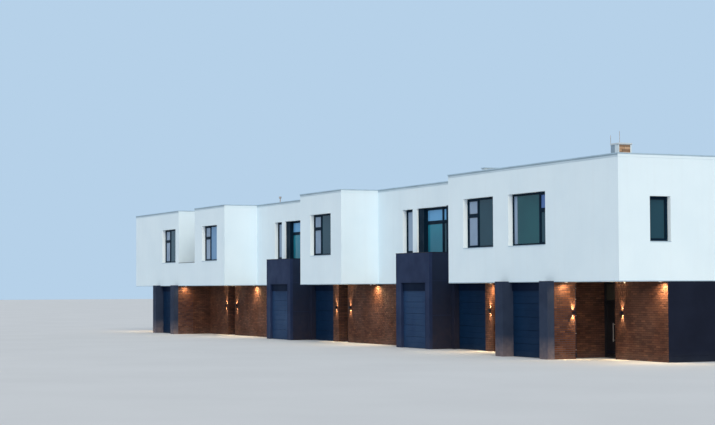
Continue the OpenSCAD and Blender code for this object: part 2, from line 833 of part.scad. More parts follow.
// Vent pipe with a hood
vent_in = 1095;
vent_y = 1190;
vent_r = 14;
vent_rise = 175;
hood_h = 30;
module roof_vent() {
    color(steel) translate([row_l / 2 - boxes[2][0] + vent_in, face_y + vent_y, roof_top]) {
        cylinder(r = vent_r, h = parapet_h + vent_rise - roof_top - hood_h);
        translate([0, 0, parapet_h + vent_rise - roof_top - hood_h]) cylinder(r = vent_r + 8, h = hood_h);
    }
}

ground_slab();
front_floor_strips();
garage_floors();
upper_floor();
upper_floor_boxes();
roof_slab();
roof_slab_boxes();
ground_end_walls();
ground_rear_wall();
inner_front_walls();
brick_front_walls();
porch_returns();
garage_piers();
garage_side_walls();
bay_front(0);  // bay_front_1
bay_front(1);  // bay_front_2
bay_sides();
bay_floors();
garage_door(0);  // garage_door_1
garage_door(1);  // garage_door_2
garage_door(2);  // garage_door_3
garage_door(3);  // garage_door_4
garage_door(4);  // garage_door_5
garage_door(5);  // garage_door_6
garage_fascias();
entrance_frames();
entrance_door();
entrance_doors_fixed();
pull_handle();
fixed_handles();
door_hinges();
hinge_pins();
transom_glass();
box_front_wall(0);  // box_front_wall_1
box_front_wall(1);  // box_front_wall_2
box_front_wall(2);  // box_front_wall_3
box_front_wall(3);  // box_front_wall_4
recess_wall(0);  // recess_wall_1
recess_wall(1);  // recess_wall_2
return_walls();
terrace_walls();
terrace_parapet();
white_end_walls();
upper_rear_wall();
parapet_coping();
low_copings();
window_sills();
front_window_frames();
recess_window_frames();
end_window_frames();
rear_window_frames();
window_glass();
rear_glass();
wall_lamps();
soffit_spots();
chimney();
chimney_cap();
lightning_rods();
roof_upstand();
roof_vent();
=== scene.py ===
import random
from math import cos, pi, radians, sin
import bpy
import numpy as np
from mathutils import Matrix, Vector


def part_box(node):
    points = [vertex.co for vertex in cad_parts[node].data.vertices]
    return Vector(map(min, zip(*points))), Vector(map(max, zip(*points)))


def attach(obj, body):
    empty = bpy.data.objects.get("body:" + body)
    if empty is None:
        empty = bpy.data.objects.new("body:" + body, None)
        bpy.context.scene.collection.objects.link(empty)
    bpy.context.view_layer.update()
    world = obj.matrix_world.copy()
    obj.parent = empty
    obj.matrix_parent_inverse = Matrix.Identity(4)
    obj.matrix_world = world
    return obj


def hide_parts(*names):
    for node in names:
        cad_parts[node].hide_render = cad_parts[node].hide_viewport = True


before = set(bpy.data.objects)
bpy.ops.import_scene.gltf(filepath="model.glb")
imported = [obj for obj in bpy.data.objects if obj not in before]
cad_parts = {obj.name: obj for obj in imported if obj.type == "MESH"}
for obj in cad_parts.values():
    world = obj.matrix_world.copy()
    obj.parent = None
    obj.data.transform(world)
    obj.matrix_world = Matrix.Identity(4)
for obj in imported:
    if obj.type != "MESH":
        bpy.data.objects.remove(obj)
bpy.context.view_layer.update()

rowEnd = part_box("white_end_walls")[1].x   # near end of the row
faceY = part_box("box_front_wall_1")[0].y   # street face of the white boxes
building = "building"
leafBody = "near_door_leaf"
row = {"length": 27.15, "depth": 5.25, "recess": 0.95, "brick": 1.0, "soffit": 1.4,
    "floor": 1.6, "top": 3.6}
# start, end and depth of each part of the white street front, then the same under the terrace
streetRuns = [(0.0, 6.2, 0.0), (6.2, 11.5, 0.95), (11.5, 13.925, 0.0), (13.925, 19.225, 0.95),
    (19.225, 21.65, 0.0), (21.65, 23.05, 0.95), (23.05, 27.15, 0.0)]
soffitRuns = [(s0, s1, 0.0 if s0 == 21.65 else depth) for s0, s1, depth in streetRuns]


def xAt(s):
    return rowEnd - s   # s is the distance from the near end


def yAt(depth):
    return faceY + depth   # depth is measured from the white face


# selecting, applying and joining
def pick(*objects):
    if bpy.context.mode != "OBJECT":
        bpy.ops.object.mode_set(mode="OBJECT")
    bpy.ops.object.select_all(action="DESELECT")
    for obj in objects:
        obj.select_set(True)
    bpy.context.view_layer.objects.active = objects[0]


def editAll(obj):
    pick(obj)
    bpy.ops.object.mode_set(mode="EDIT")
    bpy.ops.mesh.select_mode(type="FACE")
    bpy.ops.mesh.select_all(action="SELECT")


def objectMode():
    bpy.ops.object.mode_set(mode="OBJECT")


def settle(obj):
    pick(obj)
    bpy.ops.object.transform_apply(location=True, rotation=True, scale=True)
    return obj


def joined(objects):
    pick(*objects)
    if len(objects) > 1:
        bpy.ops.object.join()
    return bpy.context.view_layer.objects.active


def copied(obj, place, angle=0.0):
    twin = obj.copy()
    twin.data = obj.data.copy()
    bpy.context.scene.collection.objects.link(twin)
    twin.location = place
    twin.rotation_euler = (0, 0, radians(angle))
    return settle(twin)


def discard(obj):
    bpy.data.objects.remove(obj)


def spread(model, places):
    twins = [copied(model, place, angle) for place, angle in places]
    discard(model)
    return joined(twins)


def dressed(objects, name, material, slot, *stands, body=building):
    obj = joined(objects) if isinstance(objects, list) else objects
    obj.name = name
    obj.data.name = name
    obj.data.materials.clear()
    obj.data.materials.append(bpy.data.materials[material])
    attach(obj, body)
    if stands:
        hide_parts(*stands)
    return obj


# worked shapes that many pieces start from
def rounded(obj, bevel, segments=1):
    editAll(obj)
    bpy.ops.mesh.bevel(offset=bevel, segments=segments, affect="EDGES")
    objectMode()
    return obj


def block(corner, opposite, bevel=0.002, segments=1):
    size = [abs(b - a) for a, b in zip(corner, opposite)]
    middle = [(b + a) / 2 for a, b in zip(corner, opposite)]
    bpy.ops.mesh.primitive_cube_add(size=1, location=middle, scale=size)
    return rounded(settle(bpy.context.active_object), bevel, segments)


def strip(s0, s1, depth0, depth1, z0, z1, bevel=0.002, segments=1):
    return block((xAt(s1), yAt(depth0), z0), (xAt(s0), yAt(depth1), z1), bevel, segments)


def ring(low, high, face, bevel=0.0015, flat=False):
    size = [high[i] - low[i] for i in range(3)]
    middle = [(high[i] + low[i]) / 2 for i in range(3)]
    axis = 2 if flat else 1
    middle[axis] = low[axis]
    bpy.ops.mesh.primitive_plane_add(size=1, location=middle,
        rotation=(0 if flat else pi / 2, 0, 0))
    obj = bpy.context.active_object
    obj.scale = (size[0], size[1 if flat else 2], 1)
    settle(obj)
    editAll(obj)
    bpy.ops.mesh.inset(thickness=face)
    bpy.ops.mesh.delete(type="FACE")
    bpy.ops.mesh.select_all(action="SELECT")
    push = (0, 0, size[2]) if flat else (0, size[1], 0)
    bpy.ops.mesh.extrude_region_move(TRANSFORM_OT_translate={"value": push})
    bpy.ops.mesh.select_all(action="SELECT")
    bpy.ops.mesh.normals_make_consistent(inside=False)
    bpy.ops.mesh.bevel(offset=bevel, segments=1, affect="EDGES")
    objectMode()
    return obj


def drum(radius, depth, place, vertices=24):
    bpy.ops.mesh.primitive_cylinder_add(vertices=vertices, radius=radius, depth=depth,
        location=place)
    return settle(bpy.context.active_object)


def dome(radius, z, squash):
    bpy.ops.mesh.primitive_uv_sphere_add(segments=24, ring_count=12, radius=radius,
        location=(0, 0, z))
    obj = bpy.context.active_object
    obj.scale = (1, 1, squash)
    return settle(obj)


# choosing faces by place or normal, then working on them in edit mode
def chooseFaces(obj, test):
    pick(obj)
    for face in obj.data.polygons:
        face.select = test(face)
    for edge in obj.data.edges:
        edge.select = False
    for vertex in obj.data.vertices:
        vertex.select = False
    for face in obj.data.polygons:
        if face.select:
            for i in face.vertices:
                obj.data.vertices[i].select = True
    bpy.ops.object.mode_set(mode="EDIT")
    bpy.ops.mesh.select_mode(type="FACE")


# way is 1 or -1 along the axis, or 0 for both
def looking(axis, way, area=0.0):
    def test(face):
        along = face.normal["xyz".index(axis)]
        return (abs(along) if way == 0 else along * way) > 0.9 and face.area > area
    return test


def sunk(obj, test, border, depth, each=True):
    chooseFaces(obj, test)
    bpy.ops.mesh.inset(thickness=border, depth=-depth, use_individual=each)
    objectMode()
    return obj


def arrayed(obj, count, offset):
    modifier = obj.modifiers.new("rows", "ARRAY")
    modifier.count = count
    modifier.use_relative_offset = False
    modifier.use_constant_offset = True
    modifier.constant_offset_displace = offset
    pick(obj)
    bpy.ops.object.modifier_apply(modifier=modifier.name)
    return obj


# shader nodes
def shade(red, green, blue):
    def linear(value):
        value = value / 255
        return value / 12.92 if value <= 0.04045 else ((value + 0.055) / 1.055) ** 2.4
    return (linear(red), linear(green), linear(blue), 1.0)


def addNode(tree, kind, values=(), **settings):
    node = tree.nodes.new("ShaderNode" + kind)
    for label, value in settings.items():
        setattr(node, label, value)
    for label, value in dict(values).items():
        node.inputs[label].default_value = value
    return node


def wire(tree, *links):
    for source, output, target, entry in links:
        tree.links.new(source.outputs[output], target.inputs[entry])


def nodeGroup(name, inputs, outputs):
    group = bpy.data.node_groups.new(name, "ShaderNodeTree")
    for label, kind, value in inputs:
        socket = group.interface.new_socket(label, in_out="INPUT", socket_type="NodeSocket" + kind)
        if value is not None:
            socket.default_value = value
    for label, kind in outputs:
        group.interface.new_socket(label, in_out="OUTPUT", socket_type="NodeSocket" + kind)
    return group, group.nodes.new("NodeGroupInput"), group.nodes.new("NodeGroupOutput")


def makeMottle():
    group, given, result = nodeGroup(
        "mottle",
        [("Coords", "Vector", None), ("First", "Color", (1, 1, 1, 1)),
        ("Second", "Color", (0, 0, 0, 1)), ("Scale", "Float", 2.0),
        ("Grain Scale", "Float", 60.0)],
        [("Color", "Color"), ("Grain", "Float"), ("Cloud", "Float")])
    cloud = addNode(group, "TexNoise", {"Detail": 5})
    grain = addNode(group, "TexNoise", {"Detail": 3})
    clear = addNode(group, "MapRange", {"From Min": 0.35, "From Max": 0.65})
    mix = addNode(group, "Mix", data_type="RGBA")
    wire(group, (given, "Coords", cloud, "Vector"), (given, "Coords", grain, "Vector"),
        (given, "Scale", cloud, "Scale"), (given, "Grain Scale", grain, "Scale"),
        (cloud, "Fac", clear, "Value"), (clear, "Result", mix, "Factor"),
        (given, "First", mix, "A"), (given, "Second", mix, "B"),
        (mix, "Result", result, "Color"), (grain, "Fac", result, "Grain"),
        (clear, "Result", result, "Cloud"))
    return group


# a group that lays a tint over a colour, as strong as its weight node is told times Amount
def layerGroup(name, tint, amount, *extras):
    group, given, result = nodeGroup(
        name,
        [("Coords", "Vector", None), ("Color", "Color", (1, 1, 1, 1)),
        (tint, "Color", (0.5, 0.5, 0.5, 1)), *extras, ("Amount", "Float", amount)],
        [("Color", "Color")])
    weight = addNode(group, "Math", operation="MULTIPLY")
    mix = addNode(group, "Mix", data_type="RGBA")
    wire(group, (given, "Amount", weight, 1), (weight, "Value", mix, "Factor"),
        (given, "Color", mix, "A"), (given, tint, mix, "B"), (mix, "Result", result, "Color"))
    return group, given, weight


# the foot layer tints a colour towards the foot; on the white render this is painted shade
def makeFootDustAndShade():
    group, given, weight = layerGroup("footDustAndShade", "DustAndShade", 0.4, ("Height", "Float", 0.15))
    parts = addNode(group, "SeparateXYZ")
    noise = addNode(group, "TexNoise", {"Scale": 9, "Detail": 4})
    fade = addNode(group, "MapRange", {"To Min": 1, "To Max": 0})
    broken = addNode(group, "Math", operation="MULTIPLY")
    wire(group, (given, "Coords", parts, "Vector"), (given, "Coords", noise, "Vector"),
        (parts, "Z", fade, "Value"), (given, "Height", fade, "From Max"),
        (fade, "Result", broken, 0), (noise, "Fac", broken, 1), (broken, "Value", weight, 0))
    return group


def makeStreaks():
    group, given, weight = layerGroup("rainStreaks", "Stain", 0.2)
    stretch = addNode(group, "Mapping", {"Scale": (7, 7, 0.35)})
    noise = addNode(group, "TexNoise", {"Scale": 1, "Detail": 6})
    clear = addNode(group, "MapRange", {"From Min": 0.5, "From Max": 0.75})
    wire(group, (given, "Coords", stretch, "Vector"), (stretch, "Vector", noise, "Vector"),
        (noise, "Fac", clear, "Value"), (clear, "Result", weight, 0))
    return group


mottle = makeMottle()
footDustAndShade = makeFootDustAndShade()
rainStreaks = makeStreaks()


def placed(tree, group, values):
    return addNode(tree, "Group", values, node_tree=group)


# first and second mottle each other; stain and the foot layer are a colour and the layer's
# amounts; on the white render the foot layer is painted shade
def finish(name, first, second, scale, grain, roughness, bump, metallic=0.0, gloss=0.5,
        dustAndShade=None, stain=None, tone=None):
    material = bpy.data.materials.new(name)
    material.use_nodes = True
    tree = material.node_tree
    shader = tree.nodes["Principled BSDF"]
    shader.inputs["Metallic"].default_value = metallic
    shader.inputs["Specular IOR Level"].default_value = gloss
    coords = addNode(tree, "TexCoord")
    base = placed(tree, mottle, {"First": shade(*first), "Second": shade(*second),
        "Scale": scale, "Grain Scale": grain})
    wire(tree, (coords, "Object", base, "Coords"))
    last, output = base, "Color"
    if tone:
        brick = addNode(tree, "Attribute", attribute_name="brickTone")
        ramp = addNode(tree, "ValToRGB")
        ramp.color_ramp.elements[0].color = shade(*tone[0])
        ramp.color_ramp.elements[1].color = shade(*tone[-1])
        for i, value in enumerate(tone[1:-1]):
            ramp.color_ramp.elements.new((i + 1) / (len(tone) - 1)).color = shade(*value)
        blend = addNode(tree, "Mix", {"Factor": 1}, data_type="RGBA", blend_type="MULTIPLY")
        wire(tree, (brick, "Fac", ramp, "Fac"), (ramp, "Color", blend, "A"),
            (base, "Color", blend, "B"))
        last, output = blend, "Result"
    for group, labels, amounts in ((rainStreaks, ("Stain", "Amount"), stain),
            (footDustAndShade, ("DustAndShade", "Height", "Amount"), dustAndShade)):
        if amounts:
            layer = placed(tree, group, zip(labels, (shade(*amounts[0]), *amounts[1:])))
            wire(tree, (coords, "Object", layer, "Coords"), (last, output, layer, "Color"))
            last, output = layer, "Color"
    rough = addNode(tree, "MapRange", {"To Min": roughness[0], "To Max": roughness[1]})
    relief = addNode(tree, "Bump", {"Strength": bump[0], "Distance": bump[1]})
    wire(tree, (last, output, shader, "Base Color"), (base, "Cloud", rough, "Value"),
        (rough, "Result", shader, "Roughness"), (base, "Grain", relief, "Height"),
        (relief, "Normal", shader, "Normal"))
    return material


def litLens(name, color, strength):
    shader = finish(name, color, color, 5, 40, (0.3, 0.4),
        (0.05, 0.001)).node_tree.nodes["Principled BSDF"]
    shader.inputs["Emission Color"].default_value = shade(*color)
    shader.inputs["Emission Strength"].default_value = strength


# render, plaster, brick and stone
# the white render's foot layer darkens it towards the bottom as painted shade
finish("white_render", (220, 236, 245), (215, 232, 242), 1.1, 260, (0.85, 0.95), (0.12, 0.002),
    gloss=0.25, stain=((206, 216, 223), 0.12), dustAndShade=((200, 216, 228), 0.3, 3.3))
# reveal white is a lighter copy of the white render for the window reveals, as painted light
finish("reveal_white_painted_light", (240, 251, 255), (235, 246, 251), 1.1, 260, (0.85, 0.95), (0.12, 0.002),
    gloss=0.25)
finish("clinker_brick", (255, 255, 255), (222, 212, 208), 1.7, 120, (0.66, 0.88), (0.4, 0.002),
    gloss=0.2, dustAndShade=((104, 88, 82), 0.16, 0.5),
    tone=((74, 50, 41), (97, 65, 52), (88, 59, 48), (112, 75, 58)))
finish("mortar", (50, 37, 33), (43, 32, 29), 6, 180, (0.85, 0.95), (0.4, 0.002), gloss=0.15,
    dustAndShade=((86, 76, 72), 0.16, 0.5))
# the pier plaster's foot layer makes it lighter and greyer towards the foot
finish("navy_plaster", (41, 53, 75), (36, 47, 68), 2.4, 220, (0.75, 0.88), (0.15, 0.002),
    gloss=0.2, dustAndShade=((126, 112, 112), 0.42, 1.3))
finish("charcoal_plaster", (19, 26, 44), (16, 22, 38), 1.6, 220, (0.78, 0.9), (0.15, 0.002),
    gloss=0.15, dustAndShade=((48, 54, 62), 0.2, 0.5))
finish("bay_cladding", (30, 46, 79), (27, 41, 71), 2.2, 240, (0.6, 0.75), (0.08, 0.002),
    gloss=0.2, dustAndShade=((66, 66, 76), 0.3, 0.5))
# a darker copy of the bay cladding as painted shade on the bay sides and the strips beside the
# bays; its foot layer makes it plum towards the foot
finish("bay_cladding_painted_shade", (24, 36, 58), (22, 32, 52), 1.2, 240, (0.65, 0.8), (0.08, 0.002),
    gloss=0.15, dustAndShade=((54, 46, 52), 1.5, 0.9))
# the grey panel stands for the chimney front's left part in shade, as painted shade
finish("chimney_painted_shade_panel", (152, 174, 192), (142, 164, 182), 3, 200, (0.6, 0.75), (0.1, 0.001),
    gloss=0.2)
finish("chimney_stone", (255, 255, 255), (226, 216, 206), 9, 90, (0.8, 0.92), (0.4, 0.003),
    gloss=0.2, tone=((142, 120, 102), (204, 170, 142), (224, 202, 178), (188, 154, 126)))
finish("concrete", (150, 150, 148), (132, 132, 130), 3, 90, (0.8, 0.92), (0.3, 0.002))
finish("roof_membrane", (120, 124, 128), (104, 108, 113), 1.4, 150, (0.75, 0.9), (0.3, 0.002),
    stain=((84, 88, 92), 0.4))
finish("deck_boards", (128, 112, 98), (104, 90, 80), 4, 60, (0.6, 0.8), (0.3, 0.002))
# paint, rubber and metal
for label, first, second, scale, gloss in (
        ("garage_door_paint", (17, 42, 70), (15, 37, 63), 1.8, 0.04),
        # the bay doors take a lighter copy of the door paint as painted sky reflection
        ("bay_door_paint_painted_sky_reflection", (38, 64, 98), (31, 54, 86), 1.1, 0.06)):
    finish(label, first, second, scale, 300, (0.4, 0.55), (0.06, 0.001), gloss=gloss,
        dustAndShade=((48, 58, 70), 0.12, 0.5))
finish("garage_fascia_paint", (12, 27, 50), (10, 23, 44), 1.8, 300, (0.5, 0.65), (0.06, 0.001),
    gloss=0.03)
finish("joinery_paint", (14, 37, 55), (12, 32, 48), 5, 400, (0.4, 0.55), (0.04, 0.001), gloss=0.03)
finish("entrance_leaf_paint", (22, 23, 29), (19, 20, 25), 4, 300, (0.4, 0.55), (0.05, 0.001),
    gloss=0.35, dustAndShade=((60, 56, 54), 0.1, 0.4))
finish("rubber_seal", (14, 15, 17), (20, 21, 23), 12, 300, (0.7, 0.85), (0.1, 0.001), gloss=0.2)
finish("coping_metal", (176, 200, 214), (166, 190, 206), 1.5, 200, (0.4, 0.55), (0.05, 0.001),
    metallic=0.25, stain=((136, 152, 164), 0.3))
finish("dark_coping_metal", (20, 27, 42), (17, 23, 36), 2, 200, (0.4, 0.55), (0.05, 0.001),
    metallic=0.2, gloss=0.3)
for label, first, second in (("skirt_metal", (192, 210, 221), (184, 203, 215)),
        # the darker edge metal is painted shadow under the coping
        ("painted_shadow_metal", (150, 172, 184), (142, 164, 177)),
        ("chimney_cap_metal", (212, 222, 228), (204, 214, 221))):
    finish(label, first, second, 1.5, 200, (0.4, 0.55), (0.05, 0.001), metallic=0.1)
finish("brushed_steel", (190, 176, 166), (172, 160, 152), 9, 420, (0.25, 0.4), (0.08, 0.0006),
    metallic=0.9)
# glass whose colours are painted reflections, lenses and plastic
for label, first, second in (("teal_glass_painted_reflection", (26, 82, 88), (20, 72, 80)),
        ("dark_glass_painted_reflection", (31, 66, 80), (26, 58, 72)),
        ("sky_glass_painted_reflection", (102, 164, 210), (92, 154, 202)),
        ("dusk_glass_painted_reflection", (80, 112, 170), (70, 104, 162)),
        ("bright_glass_painted_reflection", (38, 126, 148), (32, 114, 138)),
        ("pale_glass_painted_reflection", (110, 148, 186), (98, 136, 176))):
    finish(label, first, second, 0.9, 30, (0.05, 0.09), (0.02, 0.001), gloss=0.25)
finish("door_glass_painted_reflection", (66, 64, 57), (58, 56, 50), 0.9, 30, (0.08, 0.12), (0.02, 0.001), gloss=0.25)
finish("satin_pane", (138, 160, 186), (126, 147, 173), 1.2, 30, (0.3, 0.42), (0.03, 0.001),
    gloss=0.3)
finish("sensor_plastic", (226, 228, 230), (214, 216, 219), 20, 300, (0.4, 0.5), (0.03, 0.001))
litLens("warm_lens", (255, 214, 160), 4)
print("finishes made")


# camera at the photograph's standpoint
view = {"lens": 86.6, "place": (38.27, -18.853, 1.285), "turn": 65.22, "lift": 2.553,
    "roll": -0.23}
cameraData = bpy.data.cameras.new("photoCamera")
cameraData.sensor_width = 36
cameraData.lens = view["lens"]
cameraData.clip_end = 400
camera = bpy.data.objects.new("photoCamera", cameraData)
bpy.context.scene.collection.objects.link(camera)
camera.matrix_world = (Matrix.Translation(view["place"])
    @ Matrix.Rotation(radians(view["turn"]), 4, "Z")
    @ Matrix.Rotation(radians(90 + view["lift"]), 4, "X")
    @ Matrix.Rotation(radians(view["roll"]), 4, "Z"))
bpy.context.scene.camera = camera

# floor, world and lamps; a sun's turn of 0 comes from -Y, a positive one goes towards +X
studio = {"floorSize": 400, "floor": (205, 208, 212), "floorSecond": (201, 204, 208),
    "floorRough": 0.9, "sky": (182, 209, 233), "skyLight": (225, 234, 245),
    "worldStrength": 0.69,
    "keyLight": {"strength": 1.62, "turn": 70, "height": 38, "spread": 40,
        "color": (1.0, 0.91, 0.74)},
    "fillLight": {"strength": 0.75, "turn": 45, "height": 12, "spread": 50,
        "color": (0.9, 0.94, 1.0)}}


def makeFloor():
    bpy.ops.mesh.primitive_plane_add(size=studio["floorSize"], location=(0, 0, 0))
    floor = settle(bpy.context.active_object)
    floor.name = "floor"
    material = bpy.data.materials.new("floor")
    material.use_nodes = True
    tree = material.node_tree
    shader = tree.nodes["Principled BSDF"]
    coords = addNode(tree, "TexCoord")
    base = placed(tree, mottle, {"First": shade(*studio["floor"]),
        "Second": shade(*studio["floorSecond"]),
        "Scale": 0.4, "Grain Scale": 30})
    wire(tree, (coords, "Object", base, "Coords"), (base, "Color", shader, "Base Color"))
    shader.inputs["Roughness"].default_value = studio["floorRough"]
    floor.data.materials.append(material)


# the camera, mirrors and glass see the sky colour, the rest is lit by a paler one
def makeWorld():
    world = bpy.data.worlds.new("softSky")
    bpy.context.scene.world = world
    world.use_nodes = True
    tree = world.node_tree
    tree.nodes.clear()
    output = addNode(tree, "OutputWorld")
    lightSide = addNode(tree, "Background", {"Color": shade(*studio["skyLight"]),
        "Strength": studio["worldStrength"]})
    seenSide = addNode(tree, "Background", {"Color": shade(*studio["sky"]), "Strength": 1.0})
    path = addNode(tree, "LightPath")
    mirrored = addNode(tree, "Math", operation="MAXIMUM")
    through = addNode(tree, "Math", operation="MAXIMUM")
    mix = addNode(tree, "MixShader")
    wire(tree, (path, "Is Camera Ray", mirrored, 0), (path, "Is Glossy Ray", mirrored, 1),
        (mirrored, "Value", through, 0), (path, "Is Transmission Ray", through, 1),
        (through, "Value", mix, "Fac"), (lightSide, "Background", mix, 1),
        (seenSide, "Background", mix, 2), (mix, "Shader", output, "Surface"))


def addLamp(name, kind, color, energy, place, turn, **settings):
    lamp = bpy.data.lights.new(name, kind)
    lamp.color = color
    lamp.energy = energy
    for label, value in settings.items():
        setattr(lamp, label, value)
    obj = bpy.data.objects.new(name, lamp)
    bpy.context.scene.collection.objects.link(obj)
    obj.location = place
    obj.rotation_euler = turn


def makeSun(name):
    sun = studio[name]
    addLamp(name, "SUN", sun["color"], sun["strength"], (0, 0, 0),
        (radians(90 - sun["height"]), 0, radians(sun["turn"])),
        angle=radians(sun["spread"]))


makeFloor()
makeWorld()
makeSun("keyLight")
makeSun("fillLight")
bpy.context.scene.view_settings.view_transform = "Standard"
print("camera, floor and lamps set")


# brick facing, laid in courses of whole and half bricks
brickwork = {"courses": 35, "height": 1.4, "length": 0.125, "joint": 0.006, "proud": 0.005,
    "bed": 0.002, "chamfer": 0.0018, "seed": 11, "nicheBack": 1.3, "porchBack": 0.46,
    "niches": (5.61, 13.335, 21.06), "nicheWidth": 0.54}
courseHigh = brickwork["height"] / brickwork["courses"]


def makeBrick(length):
    joint, proud, bed = brickwork["joint"], brickwork["proud"], brickwork["bed"]
    bpy.ops.mesh.primitive_cube_add(
        size=1, location=(length / 2, (bed - proud) / 2, courseHigh / 2),
        scale=(length - joint, proud + bed, courseHigh - joint))
    brick = settle(bpy.context.active_object)
    chooseFaces(brick, looking("y", -1))
    bpy.ops.mesh.bevel(offset=brickwork["chamfer"], segments=1, affect="EDGES")
    objectMode()
    return brick


wholeBrick = makeBrick(brickwork["length"])
halfBrick = makeBrick(brickwork["length"] / 2)
vertsPerBrick = len(wholeBrick.data.vertices)


def brickRun(model, place, stretch, count, rows, step):
    run = copied(model, (0, 0, 0))
    run.scale = (stretch, 1, 1)
    run.location = place
    settle(run)
    if count > 1:
        arrayed(run, count, (step, 0, 0))
    return arrayed(run, rows, (0, 0, 2 * courseHigh))


def brickWall(length, place, angle):
    count = max(1, round(length / brickwork["length"]))
    step = length / count
    stretch = step / brickwork["length"]
    even = (brickwork["courses"] + 1) // 2
    odd = brickwork["courses"] // 2
    runs = [brickRun(wholeBrick, (0, 0, 0), stretch, count, even, step),
        brickRun(halfBrick, (0, 0, courseHigh), stretch, 1, odd, step),
        brickRun(halfBrick, (length - step / 2, 0, courseHigh), stretch, 1, odd, step)]
    if count > 1:
        runs.append(brickRun(wholeBrick, (step / 2, 0, courseHigh), stretch, count - 1, odd,
            step))
    wall = joined(runs)
    wall.location = (place[0], place[1], 0)
    wall.rotation_euler = (0, 0, radians(angle))
    return settle(wall)


def toStreet(s0, s1, depth):
    return brickWall(s1 - s0, (xAt(s1), yAt(depth)), 0)


def toNear(s, depth0, depth1):
    return brickWall(depth1 - depth0, (xAt(s), yAt(depth0)), 90)


def toFar(s, depth0, depth1):
    return brickWall(depth1 - depth0, (xAt(s), yAt(depth1)), -90)


def toRear(s0, s1, depth):
    return brickWall(s1 - s0, (xAt(s0), yAt(depth)), 180)


def giveTones(obj, seed, each):
    count = len(obj.data.vertices) // each
    tones = np.random.default_rng(seed).random(count) ** 1.3
    attribute = obj.data.attributes.new("brickTone", "FLOAT", "POINT")
    attribute.data.foreach_set("value", np.repeat(tones, each).astype(np.float32))


def brickFacing():
    out, front = brickwork["proud"], row["brick"]
    niche, porch = brickwork["nicheBack"], brickwork["porchBack"]
    nearFronts = [(0.0, 1.65 + out), (4.05, 5.61 + out), (6.15 - out, 6.475 + out),
        (9.595, 13.335 + out)]
    farFronts = [(13.875 - out, 14.2 + out), (17.32, 21.06 + out),
        (21.6 - out, 23.1), (25.5 - out, 27.15)]
    near = joined([toStreet(a, b, front) for a, b in nearFronts])
    far = joined([toStreet(a, b, front) for a, b in farFronts])
    sides = joined([
        toNear(2.125, 0.0, porch), toNear(2.475, porch, niche), toFar(1.65, front, niche),
        toFar(4.05, 0.0, front), toNear(23.1, 0.0, front), toFar(25.025, 0.0, porch),
        toFar(24.675, porch, niche), toNear(25.5, front, niche),
        toRear(2.125, 2.475, porch), toRear(24.675, 25.025, porch)]
        + [toNear(s + brickwork["nicheWidth"], front, niche) for s in brickwork["niches"]]
        + [toFar(s, front, niche) for s in brickwork["niches"]]
        + [toFar(s, front, 1.12) for s in (6.475, 14.2)])
    for i, (name, wall) in enumerate((("brick_fronts_near", near), ("brick_fronts_far", far),
            ("brick_sides", sides))):
        giveTones(wall, brickwork["seed"] + i, vertsPerBrick)
        dressed(wall, name, "clinker_brick", "brick")


brickFacing()
discard(wholeBrick)
discard(halfBrick)
print("brick facing laid")


# windows: a frame with sashes, seals, panes, and a solid panel on the balconies
window = {"face": 0.034, "depth": 0.040, "bar": 0.031, "barFront": 0.003, "barBack": 0.033,
    "sash": 0.02, "sashFront": 0.006, "sashBack": 0.034, "bead": 0.004, "seal": 0.0035,
    "sealFront": 0.017, "sealBack": 0.03, "glassFront": 0.021, "glassBack": 0.033,
    "curtainFront": 0.019, "transom": 0.64, "topLight": 0.345, "reveal": 0.095,
    "sill": 2.085, "head": 3.072}
panel = {"edge": 0.004, "front": -0.06, "back": 0.022, "border": 0.03, "sunk": 0.004}
# each pane colour is a painted reflection
paneFinishes = {"teal_panes": "teal_glass_painted_reflection", "dark_panes": "dark_glass_painted_reflection", "sky_panes": "sky_glass_painted_reflection",
    "pale_panes": "pale_glass_painted_reflection", "bright_panes": "bright_glass_painted_reflection",
    "dusk_panes": "dusk_glass_painted_reflection", "satin_panes": "satin_pane"}
usualHigh = window["head"] - window["sill"]
doorHigh = window["head"] - row["floor"]
# size, uprights as shares of the width, and columns with their panes from the foot up, whether
# they have a sash, and the curtain's share of the width; a column of None is a solid panel
windowKinds = {
    "usual": ((1.21, usualHigh), (0.36,), (("satin satin", True, 0), ("dark", False, 0))),
    "usualPale": ((1.21, usualHigh), (0.36,), (("satin satin", True, 0), ("pale", False, 0))),
    "wide": ((1.36, usualHigh), (0.73,), (("teal", False, 0.12), ("dark dusk", True, 0))),
    "slim": ((0.505, usualHigh), (), (("satin", True, 0),)),
    "balcony": ((1.425, doorHigh), (0.185, 0.73),
                (None, ("bright sky", True, 0), ("dark sky", True, 0))),
    "terrace": ((1.0, doorHigh), (0.5,), (("dark", True, 0), ("dark", True, 0))),
    "end": ((0.43, 0.785), (), (("dark", True, 0),)),
    "patio": ((1.425, 1.175), (0.5,), (("dark", True, 0), ("dark", True, 0)))}


def pane(x0, x1, z0, z1, front):
    return block((x0, front, z0), (x1, window["glassBack"], z1), 0.001)


def frameBar(x0, x1, z0, z1):
    return block((x0, window["barFront"], z0), (x1, window["barBack"], z1))


def addLight(parts, x0, x1, z0, z1, tint, sash, curtain):
    inner = window["sash"] if sash else window["bead"]
    if sash:
        parts["frame"].append(ring((x0, window["sashFront"], z0), (x1, window["sashBack"], z1),
            inner, 0.002))
    left, right, low, high = x0 + inner, x1 - inner, z0 + inner, z1 - inner
    parts["seal"].append(ring((left, window["sealFront"], low), (right, window["sealBack"], high),
        window["seal"], 0.0008))
    if curtain:
        parts["satin_panes"].append(pane(left, left + curtain * (x1 - x0), low, high,
            window["curtainFront"]))
    parts[tint + "_panes"].append(pane(left, right, low, high, window["glassFront"]))


